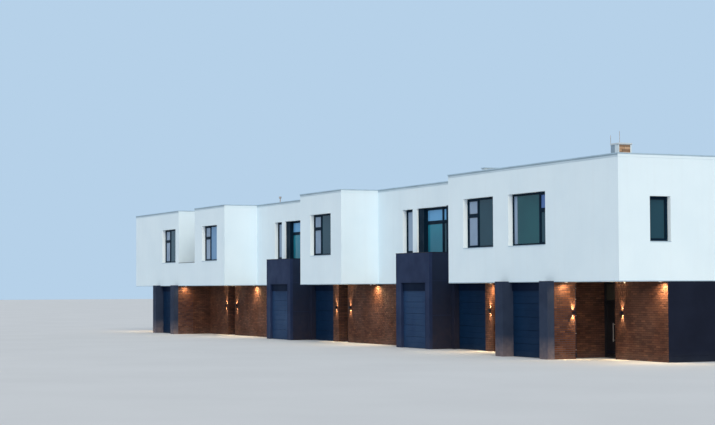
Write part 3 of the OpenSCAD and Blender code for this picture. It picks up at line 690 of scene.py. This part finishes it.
def addColumn(parts, x0, x1, low, split, high, tints, sash, curtain):
    lower, *upper = tints.split()
    if not upper:
        addLight(parts, x0, x1, low, high, lower, sash, curtain)
        return
    top = split + window["bar"]
    parts["frame"].append(frameBar(x0, x1, split, top))
    addLight(parts, x0, x1, low, split, lower, sash, curtain)
    addLight(parts, x0, x1, top, high, upper[0], sash, curtain)


def addPanel(parts, end, height):
    board = block((panel["edge"], panel["front"], panel["edge"]),
        (end, panel["back"], height - panel["edge"]), 0.003)
    parts["frame"].append(sunk(board, looking("y", -1, 0.05), panel["border"], panel["sunk"]))


def makeWindow(size, shares, columns):
    width, height = size
    face, bar = window["face"], window["bar"]
    withPanel = columns[0] is None
    split = height - window["topLight"] if withPanel else height * window["transom"]
    ends = [width * share - (0 if withPanel else bar / 2) for share in shares]
    starts = [face] + [end + bar for end in ends]
    parts = {name: [] for name in ("frame", "seal", *paneFinishes)}
    parts["frame"].append(ring((0, 0, 0), (width, window["depth"], height), face, 0.003))
    for end in ends:
        parts["frame"].append(frameBar(end, end + bar, face, height - face))
    for start, end, column in zip(starts, ends + [width - face], columns):
        if column is None:
            addPanel(parts, end, height)
        else:
            addColumn(parts, start, end, face, split, height - face, *column)
    return {name: joined(objects) for name, objects in parts.items() if objects}


windowModels = {kind: makeWindow(*values) for kind, values in windowKinds.items()}
# kind, place of the window's left corner as its side sees it, turn
recessY = yAt(row["recess"] + window["reveal"])
rearY = yAt(row["depth"] - window["reveal"])
sill = window["sill"]
windowPlaces = {
    "front": [(kind, (xAt(s), yAt(window["reveal"]), sill), 0) for kind, s in (
        ("wide", 3.764), ("usual", 5.562), ("usual", 13.31), ("usualPale", 21.035),
        ("usual", 24.555))],
    "recess": [(kind, (xAt(s), recessY, z), 0) for kind, s, z in (
        ("balcony", 9.495, row["floor"]), ("balcony", 17.22, row["floor"]),
        ("slim", 10.215, sill), ("slim", 17.94, sill), ("terrace", 22.85, row["floor"]))],
    "end": [("end", (xAt(window["reveal"]), yAt(0.64), sill), 90),
            ("end", (xAt(row["length"] - window["reveal"]), yAt(1.07), sill), -90)],
    "rear": [(kind, (xAt(house * 4.525 + s), rearY, z), 180) for house in range(6)
             for kind, s, z in (("usual", 0.7, sill), ("slim", 2.9, sill), ("patio", 0.9, 0.05))]}


def setWindows(side, frameNode, glassNode):
    sets = {}
    for kind, place, angle in windowPlaces[side]:
        for name, model in windowModels[kind].items():
            sets.setdefault(name, []).append(copied(model, place, angle))
    dressed(sets.pop("frame"), side + "_frames", "joinery_paint", "joinery", frameNode)
    dressed(sets.pop("seal"), side + "_seals", "rubber_seal", "joinery")
    for name, panes in sets.items():
        dressed(panes, side + "_" + name, paneFinishes[name], "glass", glassNode)


# white liners on the cheeks and the head of each opening, lighter than the wall as painted light
# on the reveals
liner = {"thick": 0.0015, "edge": 0.0008, "foot": 0.003, "bevel": 0.0004}


def makeLiners(width, height):
    thick, front, back = liner["thick"], -window["reveal"] + liner["edge"], -liner["edge"]
    cheeks = [block((x, front, liner["foot"]), (x + thick, back, height), liner["bevel"])
        for x in (0.0, width - thick)]
    top = block((thick, front, height - thick), (width - thick, back, height), liner["bevel"])
    return joined(cheeks + [top])


def lineOpenings(side):
    liners = [spread(makeLiners(*windowKinds[kind][0]), [(place, angle)])
        for kind, place, angle in windowPlaces[side]]
    dressed(liners, side + "_reveals_painted_light", "reveal_white_painted_light", "render")


for side in windowPlaces:
    setWindows(side, side + "_window_frames", "rear_glass" if side == "rear" else "window_glass")
for side in ("front", "recess", "end"):
    lineOpenings(side)
for models in windowModels.values():
    for model in models.values():
        discard(model)
print("windows set")


# sectional garage doors with a ribbed face; those in the bays have a lighter copy of the paint as
# painted sky reflection
garageDoor = {"sections": 5, "height": 1.255, "thick": 0.022, "gap": 0.003, "rib": 0.012,
    "ribDepth": 0.0025, "ribEdge": 0.002, "bayDepth": 0.53,
    "doors": ((2.415, 3.76, 0.09), (6.475, 7.85, 1.12), (8.185, 9.34, 0.53),
        (14.2, 15.575, 1.12), (15.91, 17.065, 0.53), (23.39, 24.735, 0.09))}
sectionHigh = garageDoor["height"] / garageDoor["sections"]


def doorSection(width):
    gap, middle, half = garageDoor["gap"], sectionHigh / 2, garageDoor["rib"] / 2
    section = block((0, 0, gap / 2), (width, garageDoor["thick"], sectionHigh - gap / 2), 0.004)
    editAll(section)
    for z in (middle - half, middle + half):
        bpy.ops.mesh.select_all(action="SELECT")
        bpy.ops.mesh.bisect(plane_co=(0, 0, z), plane_no=(0, 0, 1))
    objectMode()
    return sunk(section, lambda face: face.normal.y < -0.9 and abs(face.center.z - middle) < half,
        garageDoor["ribEdge"], garageDoor["ribDepth"], each=False)


def makeGarageDoors():
    for i, (s0, s1, depth) in enumerate(garageDoor["doors"], start=1):
        rows = arrayed(doorSection(s1 - s0), garageDoor["sections"], (0, 0, sectionHigh))
        rows.location = (xAt(s1), yAt(depth), 0)
        settle(rows)
        seal = strip(s0, s1, depth + 0.002, depth + 0.018, 0.0, 0.012)
        back = strip(s0 + 0.002, s1 - 0.002, depth + 0.012, depth + 0.020, 0.004,
            garageDoor["height"] - 0.004)
        paint = "bay_door_paint_painted_sky_reflection" if depth == garageDoor["bayDepth"] else "garage_door_paint"
        dressed(rows, "garage_door_face_%d" % i, paint, "garage_door", "garage_door_%d" % i)
        dressed([seal, back], "garage_seal_%d" % i, "rubber_seal", "garage_door")


makeGarageDoors()
print("garage doors hung")

# finishes of the CAD pieces that stay
shownNodes = {
    "white_render": "box_front_wall_1 box_front_wall_2 box_front_wall_3 box_front_wall_4 "
        "recess_wall_1 recess_wall_2 return_walls terrace_walls terrace_parapet "
        "white_end_walls upper_rear_wall upper_floor upper_floor_boxes roof_upstand",
    "mortar": "brick_front_walls porch_returns garage_side_walls",
    "chimney_stone": "chimney",
    "navy_plaster": "garage_piers",
    "charcoal_plaster": "ground_end_walls ground_rear_wall inner_front_walls",
    "bay_cladding": "bay_front_1 bay_front_2",
    # the bay sides take the darker copy of the cladding as painted shade
    "bay_cladding_painted_shade": "bay_sides",
    "garage_fascia_paint": "garage_fascias",
    "concrete": "ground_slab front_floor_strips garage_floors bay_floors",
    "roof_membrane": "roof_slab roof_slab_boxes",
    "joinery_paint": "entrance_frames entrance_doors_fixed entrance_door wall_lamps",
    # the transom glass colour is a painted reflection
    "door_glass_painted_reflection": "transom_glass",
    "brushed_steel": "pull_handle fixed_handles door_hinges hinge_pins lightning_rods roof_vent",
    "coping_metal": "parapet_coping window_sills",
    "chimney_cap_metal": "chimney_cap",
    "dark_coping_metal": "low_copings",
    "warm_lens": "soffit_spots"}
for name, nodes in shownNodes.items():
    for node in nodes.split():
        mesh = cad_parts[node].data
        mesh.materials.clear()
        mesh.materials.append(bpy.data.materials[name])
print("CAD pieces dressed")


# entrance doors: leaf with a framed face, frame bars, side panel and transom
entrance = {"openStart": 1.935, "fixedStarts": (5.61, 13.335, 21.06, 24.675),
    "sidePanels": ((1.65, 1.935), (25.215, 25.5)), "width": 0.54, "jamb": 0.035,
    "front": 1.3, "back": 1.34, "barLow": 1.03, "barHigh": 1.06, "footLow": 0.03,
    "foot": 0.058, "top": 1.4, "bevel": 0.003}
leafShape = {"front": 1.304, "back": 1.334, "border": 0.045, "groove": 0.0035, "sunk": 0.003,
    "kickFront": 1.3015, "kickBack": 1.305, "kickSide": 0.03, "kickLow": 0.012,
    "kickHigh": 0.075}


def makeLeaf(x0, x1, z0, z1):
    leaf = block((x0, yAt(leafShape["front"]), z0), (x1, yAt(leafShape["back"]), z1), 0.0025, 2)
    for border, depth in ((leafShape["border"], 0.0), (leafShape["groove"], leafShape["sunk"]),
            (leafShape["groove"], -leafShape["sunk"])):
        sunk(leaf, looking("y", 0, 0.1), border, depth)
    side = leafShape["kickSide"]
    kick = block((x0 + side, yAt(leafShape["kickFront"]), z0 + leafShape["kickLow"]),
        (x1 - side, yAt(leafShape["kickBack"]), z0 + leafShape["kickHigh"]), 0.0012)
    return leaf, kick


def makeEntranceFrames():
    jamb, bevel = entrance["jamb"], entrance["bevel"]
    y0, y1 = yAt(entrance["front"]), yAt(entrance["back"])
    bars = []
    seals = []
    for s0 in (entrance["openStart"], *entrance["fixedStarts"]):
        x0, x1 = xAt(s0 + entrance["width"]), xAt(s0)
        bars.append(ring((x0, y0, 0.0), (x1, y1, entrance["top"]), jamb, bevel))
        for low, high in ((entrance["barLow"], entrance["barHigh"]),
                (entrance["footLow"], entrance["foot"])):
            bars.append(block((x0 + jamb, y0, low), (x1 - jamb, y1, high), bevel))
        seals.append(ring((x0 + jamb, y0 + 0.012, entrance["barHigh"]),
            (x1 - jamb, y0 + 0.021, entrance["top"] - jamb), 0.006, 0.001))
    for s0, s1 in entrance["sidePanels"]:
        board = strip(s0, s1, entrance["front"], entrance["back"], 0.0, entrance["top"], bevel)
        bars.append(sunk(board, looking("y", -1, 0.1), 0.03, 0.004))
    dressed(bars, "entrance_frame_bars", "entrance_leaf_paint", "joinery", "entrance_frames")
    dressed(seals, "transom_seals", "rubber_seal", "joinery")


def hangLeaves(doors, leafName, kickName, node, body=building):
    leaves, kicks = zip(*(makeLeaf(*door) for door in doors))
    dressed(list(leaves), leafName, "entrance_leaf_paint", "joinery", node, body=body)
    dressed(list(kicks), kickName, "dark_coping_metal", "joinery", body=body)


makeEntranceFrames()
low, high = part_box("entrance_door")
hangLeaves([(low.x, high.x, low.z, high.z)], "entrance_leaf", "entrance_kick_plate",
    "entrance_door", leafBody)
hangLeaves([(xAt(s + entrance["width"] - entrance["jamb"]), xAt(s + entrance["jamb"]),
    entrance["foot"], entrance["barLow"]) for s in entrance["fixedStarts"]],
    "entrance_leaves_fixed", "entrance_kick_plates_fixed", "entrance_doors_fixed")
print("entrances made")


# wall lamps that shine up and down, and soffit spots
wallLamp = {"size": 0.05, "height": 0.845, "lensRadius": 0.015, "lensShort": 0.006,
    "plate": 0.36, "beam": 68, "beamPlace": 0.27, "power": 36.0,
    "fronts": (1.41, 5.43, 6.255, 13.155, 13.98, 20.88, 21.705, 25.74),
    "sides": ((2.12, 90), (25.03, -90)), "frontDepth": 0.995, "sideDepth": 0.39}
soffitSpot = {"radius": 0.032, "height": 0.01, "lensRadius": 0.02, "squash": 0.22, "beam": 172,
    "lightZ": 1.386, "wallPower": 66.0, "sidePower": 22.0,
    "places": ((0.09, 0.9), (2.025, 0.2), (6.07, 0.9), (11.63, 0.9), (19.355, 0.9),
        (23.0, 0.2), (25.125, 0.2), (27.06, 0.9))}
warmLight = (1.0, 0.68, 0.34)


def makeWallLamp():
    size = wallLamp["size"]
    half, plate = size / 2, size * wallLamp["plate"]
    body = block((-half, -size, -half), (half, 0, half), 0.003, 2)
    sunk(body, looking("z", 0, 0.001), 0.006, 0.006)
    lens = rounded(drum(wallLamp["lensRadius"], size - wallLamp["lensShort"], (0, -half, 0)),
        0.002, 2)
    return joined([body, block((-plate, -0.006, -plate), (plate, 0.001, plate), 0.001)]), lens


def makeBeam(name, place, down, angle, power, blend):
    addLamp(name, "SPOT", warmLight, power, place, (0 if down else pi, 0, 0),
        spot_size=radians(angle), spot_blend=blend, shadow_soft_size=0.012)


def placeLamps():
    height = wallLamp["height"]
    places = [((xAt(s), yAt(wallLamp["frontDepth"]), height), 0) for s in wallLamp["fronts"]]
    places += [((xAt(s), yAt(wallLamp["sideDepth"]), height), turn)
        for s, turn in wallLamp["sides"]]
    body, lens = makeWallLamp()
    dressed(spread(body, places), "wall_lamp_bodies", "dark_coping_metal", "joinery",
        "wall_lamps")
    dressed(spread(lens, places), "wall_lamp_lenses", "warm_lens", "lens")
    for i, (place, turn) in enumerate(places):
        away = Vector((sin(radians(turn)), -cos(radians(turn)), 0))
        middle = Vector(place) + away * (wallLamp["size"] * wallLamp["beamPlace"])
        for name, lift in (("Down", -1), ("Up", 1)):
            makeBeam("lampBeam%d%s" % (i, name),
                middle + Vector((0, 0, lift * (wallLamp["size"] / 2 + 0.001))), lift < 0,
                wallLamp["beam"], wallLamp["power"], 0.8)


def placeSpots():
    height, soffit = soffitSpot["height"], row["soffit"]
    places = [((xAt(s), yAt(depth), 0), 0) for s, depth in soffitSpot["places"]]
    rim = drum(soffitSpot["radius"], height + 0.001, (0, 0, soffit - height / 2 + 0.0005), 32)
    rounded(sunk(rim, looking("z", -1), 0.008, 0.004), 0.001)
    lens = dome(soffitSpot["lensRadius"], soffit - 0.006, soffitSpot["squash"])
    dressed(spread(rim, places), "soffit_spot_rims", "sensor_plastic", "lens", "soffit_spots")
    dressed(spread(lens, places), "soffit_spot_lenses", "warm_lens", "lens", "soffit_spots")
    for i, (s, depth) in enumerate(soffitSpot["places"]):
        makeBeam("spotBeam%d" % i, (xAt(s), yAt(depth), soffitSpot["lightZ"]), True,
            soffitSpot["beam"], soffitSpot["sidePower" if depth < 0.5 else "wallPower"], 1.0)


placeLamps()
placeSpots()
print("lamps placed")


# plain boards, each as start, end, front, back, low and high
def makeBoards(name, material, slot, table):
    dressed([strip(*place, table["bevel"]) for place in table["places"]], name, material, slot)


# plaster on the end walls right from the corner, over a plinth strip
endPlaster = {"bevel": 0.0015, "places": (
    (-0.005, 0.001, 0.995, 5.25, 0.11, 1.399), (-0.008, 0.001, 0.995, 5.253, 0.0, 0.108),
    (27.149, 27.155, 0.995, 5.25, 0.11, 1.399), (27.149, 27.158, 0.995, 5.253, 0.0, 0.108))}
makeBoards("end_wall_plaster", "charcoal_plaster", "plaster", endPlaster)


# seams of the parapet coping
seam = {"step": 1.13, "wide": 0.012, "high": 0.004, "length": 0.204, "over": 0.012,
    "rear": 5.058, "rearParts": 24, "endParts": 5, "ends": (0.192, 27.162)}


def makeCopingSeams():
    top = row["top"]
    places = []
    for s0, s1, depth in streetRuns:
        count = max(1, round((s1 - s0) / seam["step"]))
        places += [((xAt(s0 + (s1 - s0) * i / count), yAt(depth - seam["over"]), top), 0)
            for i in range(1, count)]
    places += [((xAt(row["length"] * i / seam["rearParts"]), yAt(seam["rear"]), top), 0)
        for i in range(1, seam["rearParts"])]
    places += [((xAt(s) + seam["length"], yAt(row["depth"] * i / seam["endParts"]), top), 90)
        for s in seam["ends"] for i in range(1, seam["endParts"])]
    model = block((-seam["wide"] / 2, 0, 0), (seam["wide"] / 2, seam["length"], seam["high"]),
        0.0015)
    dressed(spread(model, places), "coping_seams", "coping_metal", "coping")


makeCopingSeams()


# plaster beside the bays, with the garage door's jamb turned in, in the darker bay cladding copy
# that is painted shade
bayPlaster = {"bevel": 0.0015, "places": (
    (7.85, 7.99, 0.994, 1.001, 0.0, 1.4), (7.845, 7.851, 0.994, 1.119, 0.0, 1.4),
    (15.575, 15.715, 0.994, 1.001, 0.0, 1.4), (15.57, 15.576, 0.994, 1.119, 0.0, 1.4))}
makeBoards("bay_side_strips", "bay_cladding_painted_shade", "plaster", bayPlaster)


# bays: trims at the corners, seams at the soffit line and a lined opening, each trim as start,
# end, front and back from the bay's near front corner, then low, high and bevel
bay = {"starts": (7.99, 15.715), "depth": 0.475, "trims": (
    (0.0, 0.022, -0.003, 0.001, 0.0, 2.063, 0.001),
    (-0.003, 0.0, -0.003, 0.022, 0.0, 2.063, 0.001),
    (1.583, 1.605, -0.003, 0.001, 0.0, 2.063, 0.001),
    (1.605, 1.608, -0.003, 0.022, 0.0, 2.063, 0.001),
    (0.022, 1.583, -0.002, 0.001, 1.455, 1.461, 0.0008),
    (-0.002, 0.0, 0.022, 0.525, 0.72, 0.726, 0.0008),
    (-0.002, 0.0, 0.022, 0.475, 1.455, 1.461, 0.0008),
    (1.605, 1.607, 0.022, 0.525, 0.72, 0.726, 0.0008),
    (1.605, 1.607, 0.022, 0.475, 1.455, 1.461, 0.0008),
    (0.181, 0.195, -0.004, 0.001, 0.0, 1.434, 0.001),
    (1.35, 1.364, -0.004, 0.001, 0.0, 1.434, 0.001),
    (0.181, 1.364, -0.004, 0.001, 1.42, 1.434, 0.001))}
dressed([strip(s0 + start, s0 + end, bay["depth"] + front, bay["depth"] + back, *rest)
    for s0 in bay["starts"] for start, end, front, back, *rest in bay["trims"]],
    "bay_trims", "bay_cladding", "bay")
print("bays trimmed")


# chimney: stone faces between white corner posts, a grey panel beside them on the front as painted
# shade of that face
chimney = {"s": 1.97, "y": 1.375, "width": 0.25, "depth": 0.275, "low": 3.425, "high": 3.925,
    "post": 0.03, "frontEdge": 0.01, "rearEdge": 0.024, "out": 0.006, "courses": 11,
    "joint": 0.003, "band": 0.008, "shadeShare": 0.52, "seed": 19}


def makeChimneyRender(x0, x1, y0, y1):
    out, post, low, high = chimney["out"], chimney["post"], chimney["low"], chimney["high"]
    posts = []
    for x, y, sx, sy, edge in ((x0, y1, 1, -1, chimney["rearEdge"]),
            (x1, y0, -1, 1, chimney["frontEdge"]),
            (x1, y1, -1, -1, chimney["rearEdge"])):
        posts.append(block((x - sx * out, y - sy * out, low),
            (x + sx * post, y + sy * edge, high), 0.0015))
    posts.append(ring((x0 - out, y0 - out, high - chimney["band"]), (x1 + out, y1 + out, high),
        post, flat=True))
    split = x0 + chimney["width"] * chimney["shadeShare"]
    posts.append(block((split, y0 - out + 0.002, low), (x1 - post * 0.8, y0 + 0.001, high),
        0.0015))
    dressed(posts, "chimney_render", "white_render", "render")
    dressed(block((x0 - out, y0 - out + 0.001, low),
        (split - chimney["joint"], y0 + 0.012, high - chimney["band"]), 0.0015),
        "chimney_painted_shade_panel", "chimney_painted_shade_panel", "render")


def makeChimneyStones(x0, x1, y0, y1):
    low, joint, inset = chimney["low"], chimney["joint"], chimney["post"] * 0.8
    step = (chimney["high"] - low) / chimney["courses"]
    start, end = y0 + chimney["frontEdge"] - 0.002, y1 - chimney["rearEdge"] + 0.002
    rearStart, rearWide = x0 + inset, chimney["width"] - 2 * inset
    draw = random.Random(chimney["seed"])
    stones = []
    for i in range(chimney["courses"]):
        z0, z1 = low + i * step + joint / 2, low + (i + 1) * step - joint / 2
        cuts = sorted(draw.uniform(0.15, 0.85) for _ in range(2))
        for a, b in zip([0.0] + cuts, cuts + [1.0]):
            if b - a < 0.06:
                continue
            proud = draw.uniform(0.002, 0.005)
            stones.append(block((x0 - proud, start + (end - start) * a, z0),
                (x1 + proud, start + (end - start) * b - joint, z1)))
            vertsPerStone = len(stones[-1].data.vertices)
            stones.append(block((rearStart + rearWide * a, y1 - 0.01, z0),
                (rearStart + rearWide * b - joint, y1 + proud, z1)))
    stones = joined(stones)
    giveTones(stones, chimney["seed"], vertsPerStone)
    dressed(stones, "chimney_stones", "chimney_stone", "render")


chimneySides = (xAt(chimney["s"]) - chimney["width"] / 2, xAt(chimney["s"]) + chimney["width"] / 2,
    yAt(chimney["y"]) - chimney["depth"] / 2, yAt(chimney["y"]) + chimney["depth"] / 2)
makeChimneyRender(*chimneySides)
makeChimneyStones(*chimneySides)
print("chimney dressed")


# dark boards between the balcony windows and the white boxes beside them
coverBoards = {"bevel": 0.002, "places": (
    (7.994, 8.072, 0.938, 0.951, 1.602, 3.076), (15.719, 15.797, 0.938, 0.951, 1.602, 3.076))}
makeBoards("balcony_cover_boards", "joinery_paint", "joinery", coverBoards)


# skirt under the coping, with a darker strip along its top on the street side as painted shadow of
# the coping, and drip profiles
edge = {"skirtLow": 3.53, "skirtHigh": 3.579, "skirtOut": 0.004, "shadowLineLow": 3.561,
    "shadowLineOut": 0.005, "dripLow": 1.4015, "dripHigh": 1.414, "dripOut": 0.003,
    "bed": 0.001, "bevel": 0.0008}


def streetStrips(runs, low, high, out):
    return [strip(s0, s1, depth - out, depth + edge["bed"], low, high, edge["bevel"])
        for s0, s1, depth in runs]


def sideStrips(runs, low, high, out):
    strips = []
    for before, after in zip(runs, runs[1:]):
        if after[2] != before[2]:
            x, side = xAt(after[0]), -1 if after[2] > before[2] else 1
            strips.append(block((x, yAt(-out), low), (x + side * out, yAt(row["recess"]), high),
                edge["bevel"]))
    for x, side in ((rowEnd, 1), (-rowEnd, -1)):
        strips.append(block((x, yAt(-out), low), (x + side * out, yAt(row["depth"] + out), high),
            edge["bevel"]))
    strips.append(strip(0.0, row["length"], row["depth"] - edge["bed"], row["depth"] + out, low,
        high, edge["bevel"]))
    return strips


drip = (soffitRuns, edge["dripLow"], edge["dripHigh"], edge["dripOut"])
dressed(sideStrips(streetRuns, edge["skirtLow"], edge["skirtHigh"], edge["skirtOut"]),
    "parapet_skirt", "white_render", "render")
dressed(streetStrips(streetRuns, edge["skirtLow"], edge["shadowLineLow"], edge["skirtOut"]),
    "street_skirt", "skirt_metal", "coping")
# the darker strip under the coping is painted shadow
dressed(streetStrips(streetRuns, edge["shadowLineLow"], edge["skirtHigh"], edge["shadowLineOut"]),
    "street_skirt_painted_shadow", "painted_shadow_metal", "coping")
dressed(streetStrips(*drip) + sideStrips(*drip), "drip_profiles", "coping_metal", "coping")
print("edge profiles made")


# boards of the balconies and the terrace, with a gap between each two
deck = {"board": 0.07, "gap": 0.004, "thick": 0.014, "back": 0.95}


def makeDeck(s0, s1, front):
    count = round((s1 - s0) / deck["board"])
    step = (s1 - s0) / count
    board = strip(s1 - step + deck["gap"] / 2, s1 - deck["gap"] / 2, front, deck["back"],
        row["floor"], row["floor"] + deck["thick"])
    return arrayed(board, count, (step, 0, 0))


decks = [makeDeck(s + 0.07, s + 1.535, 0.545) for s in bay["starts"]]
dressed(decks + [makeDeck(21.65, 23.05, 0.18)], "deck_boards", "deck_boards", "concrete")


# roof: welded membrane sheets between the parapets, with upstand fillets
roof = {"sheet": 1.05, "lap": 0.04, "thick": 0.003, "top": 3.425, "fillet": 0.03, "rear": 5.07,
    "edges": (0.18, 6.02, 11.68, 13.745, 19.405, 21.47, 23.23, 26.97),
    "fronts": (0.18, 1.13, 0.18, 1.13, 0.18, 1.13, 0.18)}


def makeRoof():
    top, rear, fillet, edges = roof["top"], roof["rear"], roof["fillet"], roof["edges"]
    sheets = []
    for s0, s1, depth in zip(edges, edges[1:], roof["fronts"]):
        count = max(1, round((s1 - s0) / roof["sheet"]))
        step = (s1 - s0) / count
        for i in range(count):
            lift = roof["thick"] * (1 + i % 2)
            end = min(s1, s0 + (i + 1) * step + roof["lap"])
            sheets.append(strip(s0 + i * step, end, depth, rear, top, top + lift, 0.0008))
        sheets.append(strip(s0, s1, depth, depth + fillet, top, top + fillet, 0.012, 2))
    sheets.append(strip(edges[0], edges[-1], rear - fillet, rear, top, top + fillet, 0.012, 2))
    dressed(sheets, "roof_sheets", "roof_membrane", "concrete")


makeRoof()


# vent cowl on its flange, and upstand cap
ventCowl = {"radius": 0.034, "depth": 0.05, "down": 0.018, "flangeUp": 0.028}
upstandCap = {"over": 0.004, "down": 0.014}


def makeRoofFittings():
    low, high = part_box("roof_vent")
    x, y = (low.x + high.x) / 2, (low.y + high.y) / 2
    cowl = drum(ventCowl["radius"], ventCowl["depth"], (x, y, high.z - ventCowl["down"]), 32)
    rounded(sunk(cowl, looking("z", 1), 0.008, 0.004), 0.0015)
    bpy.ops.mesh.primitive_cone_add(vertices=32, radius1=0.075, radius2=0.026, depth=0.05,
        location=(x, y, roof["top"] + ventCowl["flangeUp"]))
    flange = rounded(settle(bpy.context.active_object), 0.003)
    dressed([cowl, flange], "roof_vent_cowl", "brushed_steel", "steel")
    low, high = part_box("roof_upstand")
    over = upstandCap["over"]
    cap = block((low.x - over, low.y - over, high.z - upstandCap["down"]),
        (high.x + over, high.y + over, high.z + over))
    sunk(cap, looking("z", -1), 0.003, 0.001, each=False)
    dressed(cap, "roof_upstand_cap", "coping_metal", "coping")


makeRoofFittings()
print("decks and roof laid")


# small fittings: soffit sensors, and the cable pipe with clips at the niche corner
sensor = {"radius": 0.017, "z": 1.392, "squash": 0.9, "baseHigh": 0.008, "baseZ": 1.3965,
    "places": (1.266, 11.925, 25.884)}
pipe = {"radius": 0.006, "low": 0.1, "high": 1.36, "out": 0.012, "depth": 0.452,
    "sides": ((2.125, 1), (25.025, -1)), "clips": (0.16, 0.46, 0.78, 1.08, 1.28)}


def makeSensors():
    base = rounded(drum(sensor["radius"] * 1.25, sensor["baseHigh"],
        (0, 0, sensor["baseZ"])), 0.0015, 2)
    cover = dome(sensor["radius"], sensor["z"], sensor["squash"])
    sensors = spread(joined([cover, base]), [((xAt(s), yAt(row["recess"]), 0), 0)
        for s in sensor["places"]])
    pick(sensors)
    bpy.ops.object.shade_smooth_by_angle(angle=radians(40))
    dressed(sensors, "soffit_sensors", "sensor_plastic", "lens")


def makePipes():
    low, high, out, y = pipe["low"], pipe["high"], pipe["out"], yAt(pipe["depth"])
    pipes = []
    clips = []
    for s, side in pipe["sides"]:
        x = xAt(s) + side * out
        pipes.append(rounded(drum(pipe["radius"], high - low, (x, y, (high + low) / 2), 16),
            0.0012))
        pipes.append(block((x - 0.014, y - out, 0.03), (x + 0.014, y + out, 0.105), 0.003, 2))
        clips += [block((xAt(s) - side * 0.001, y - 0.010, z),
            (x + side * 0.008, y + 0.010, z + 0.012), 0.0012) for z in pipe["clips"]]
    dressed(pipes, "corner_pipes", "dark_coping_metal", "joinery")
    dressed(clips, "corner_pipe_clips", "brushed_steel", "steel")


makeSensors()
makePipes()
print("small fittings placed")
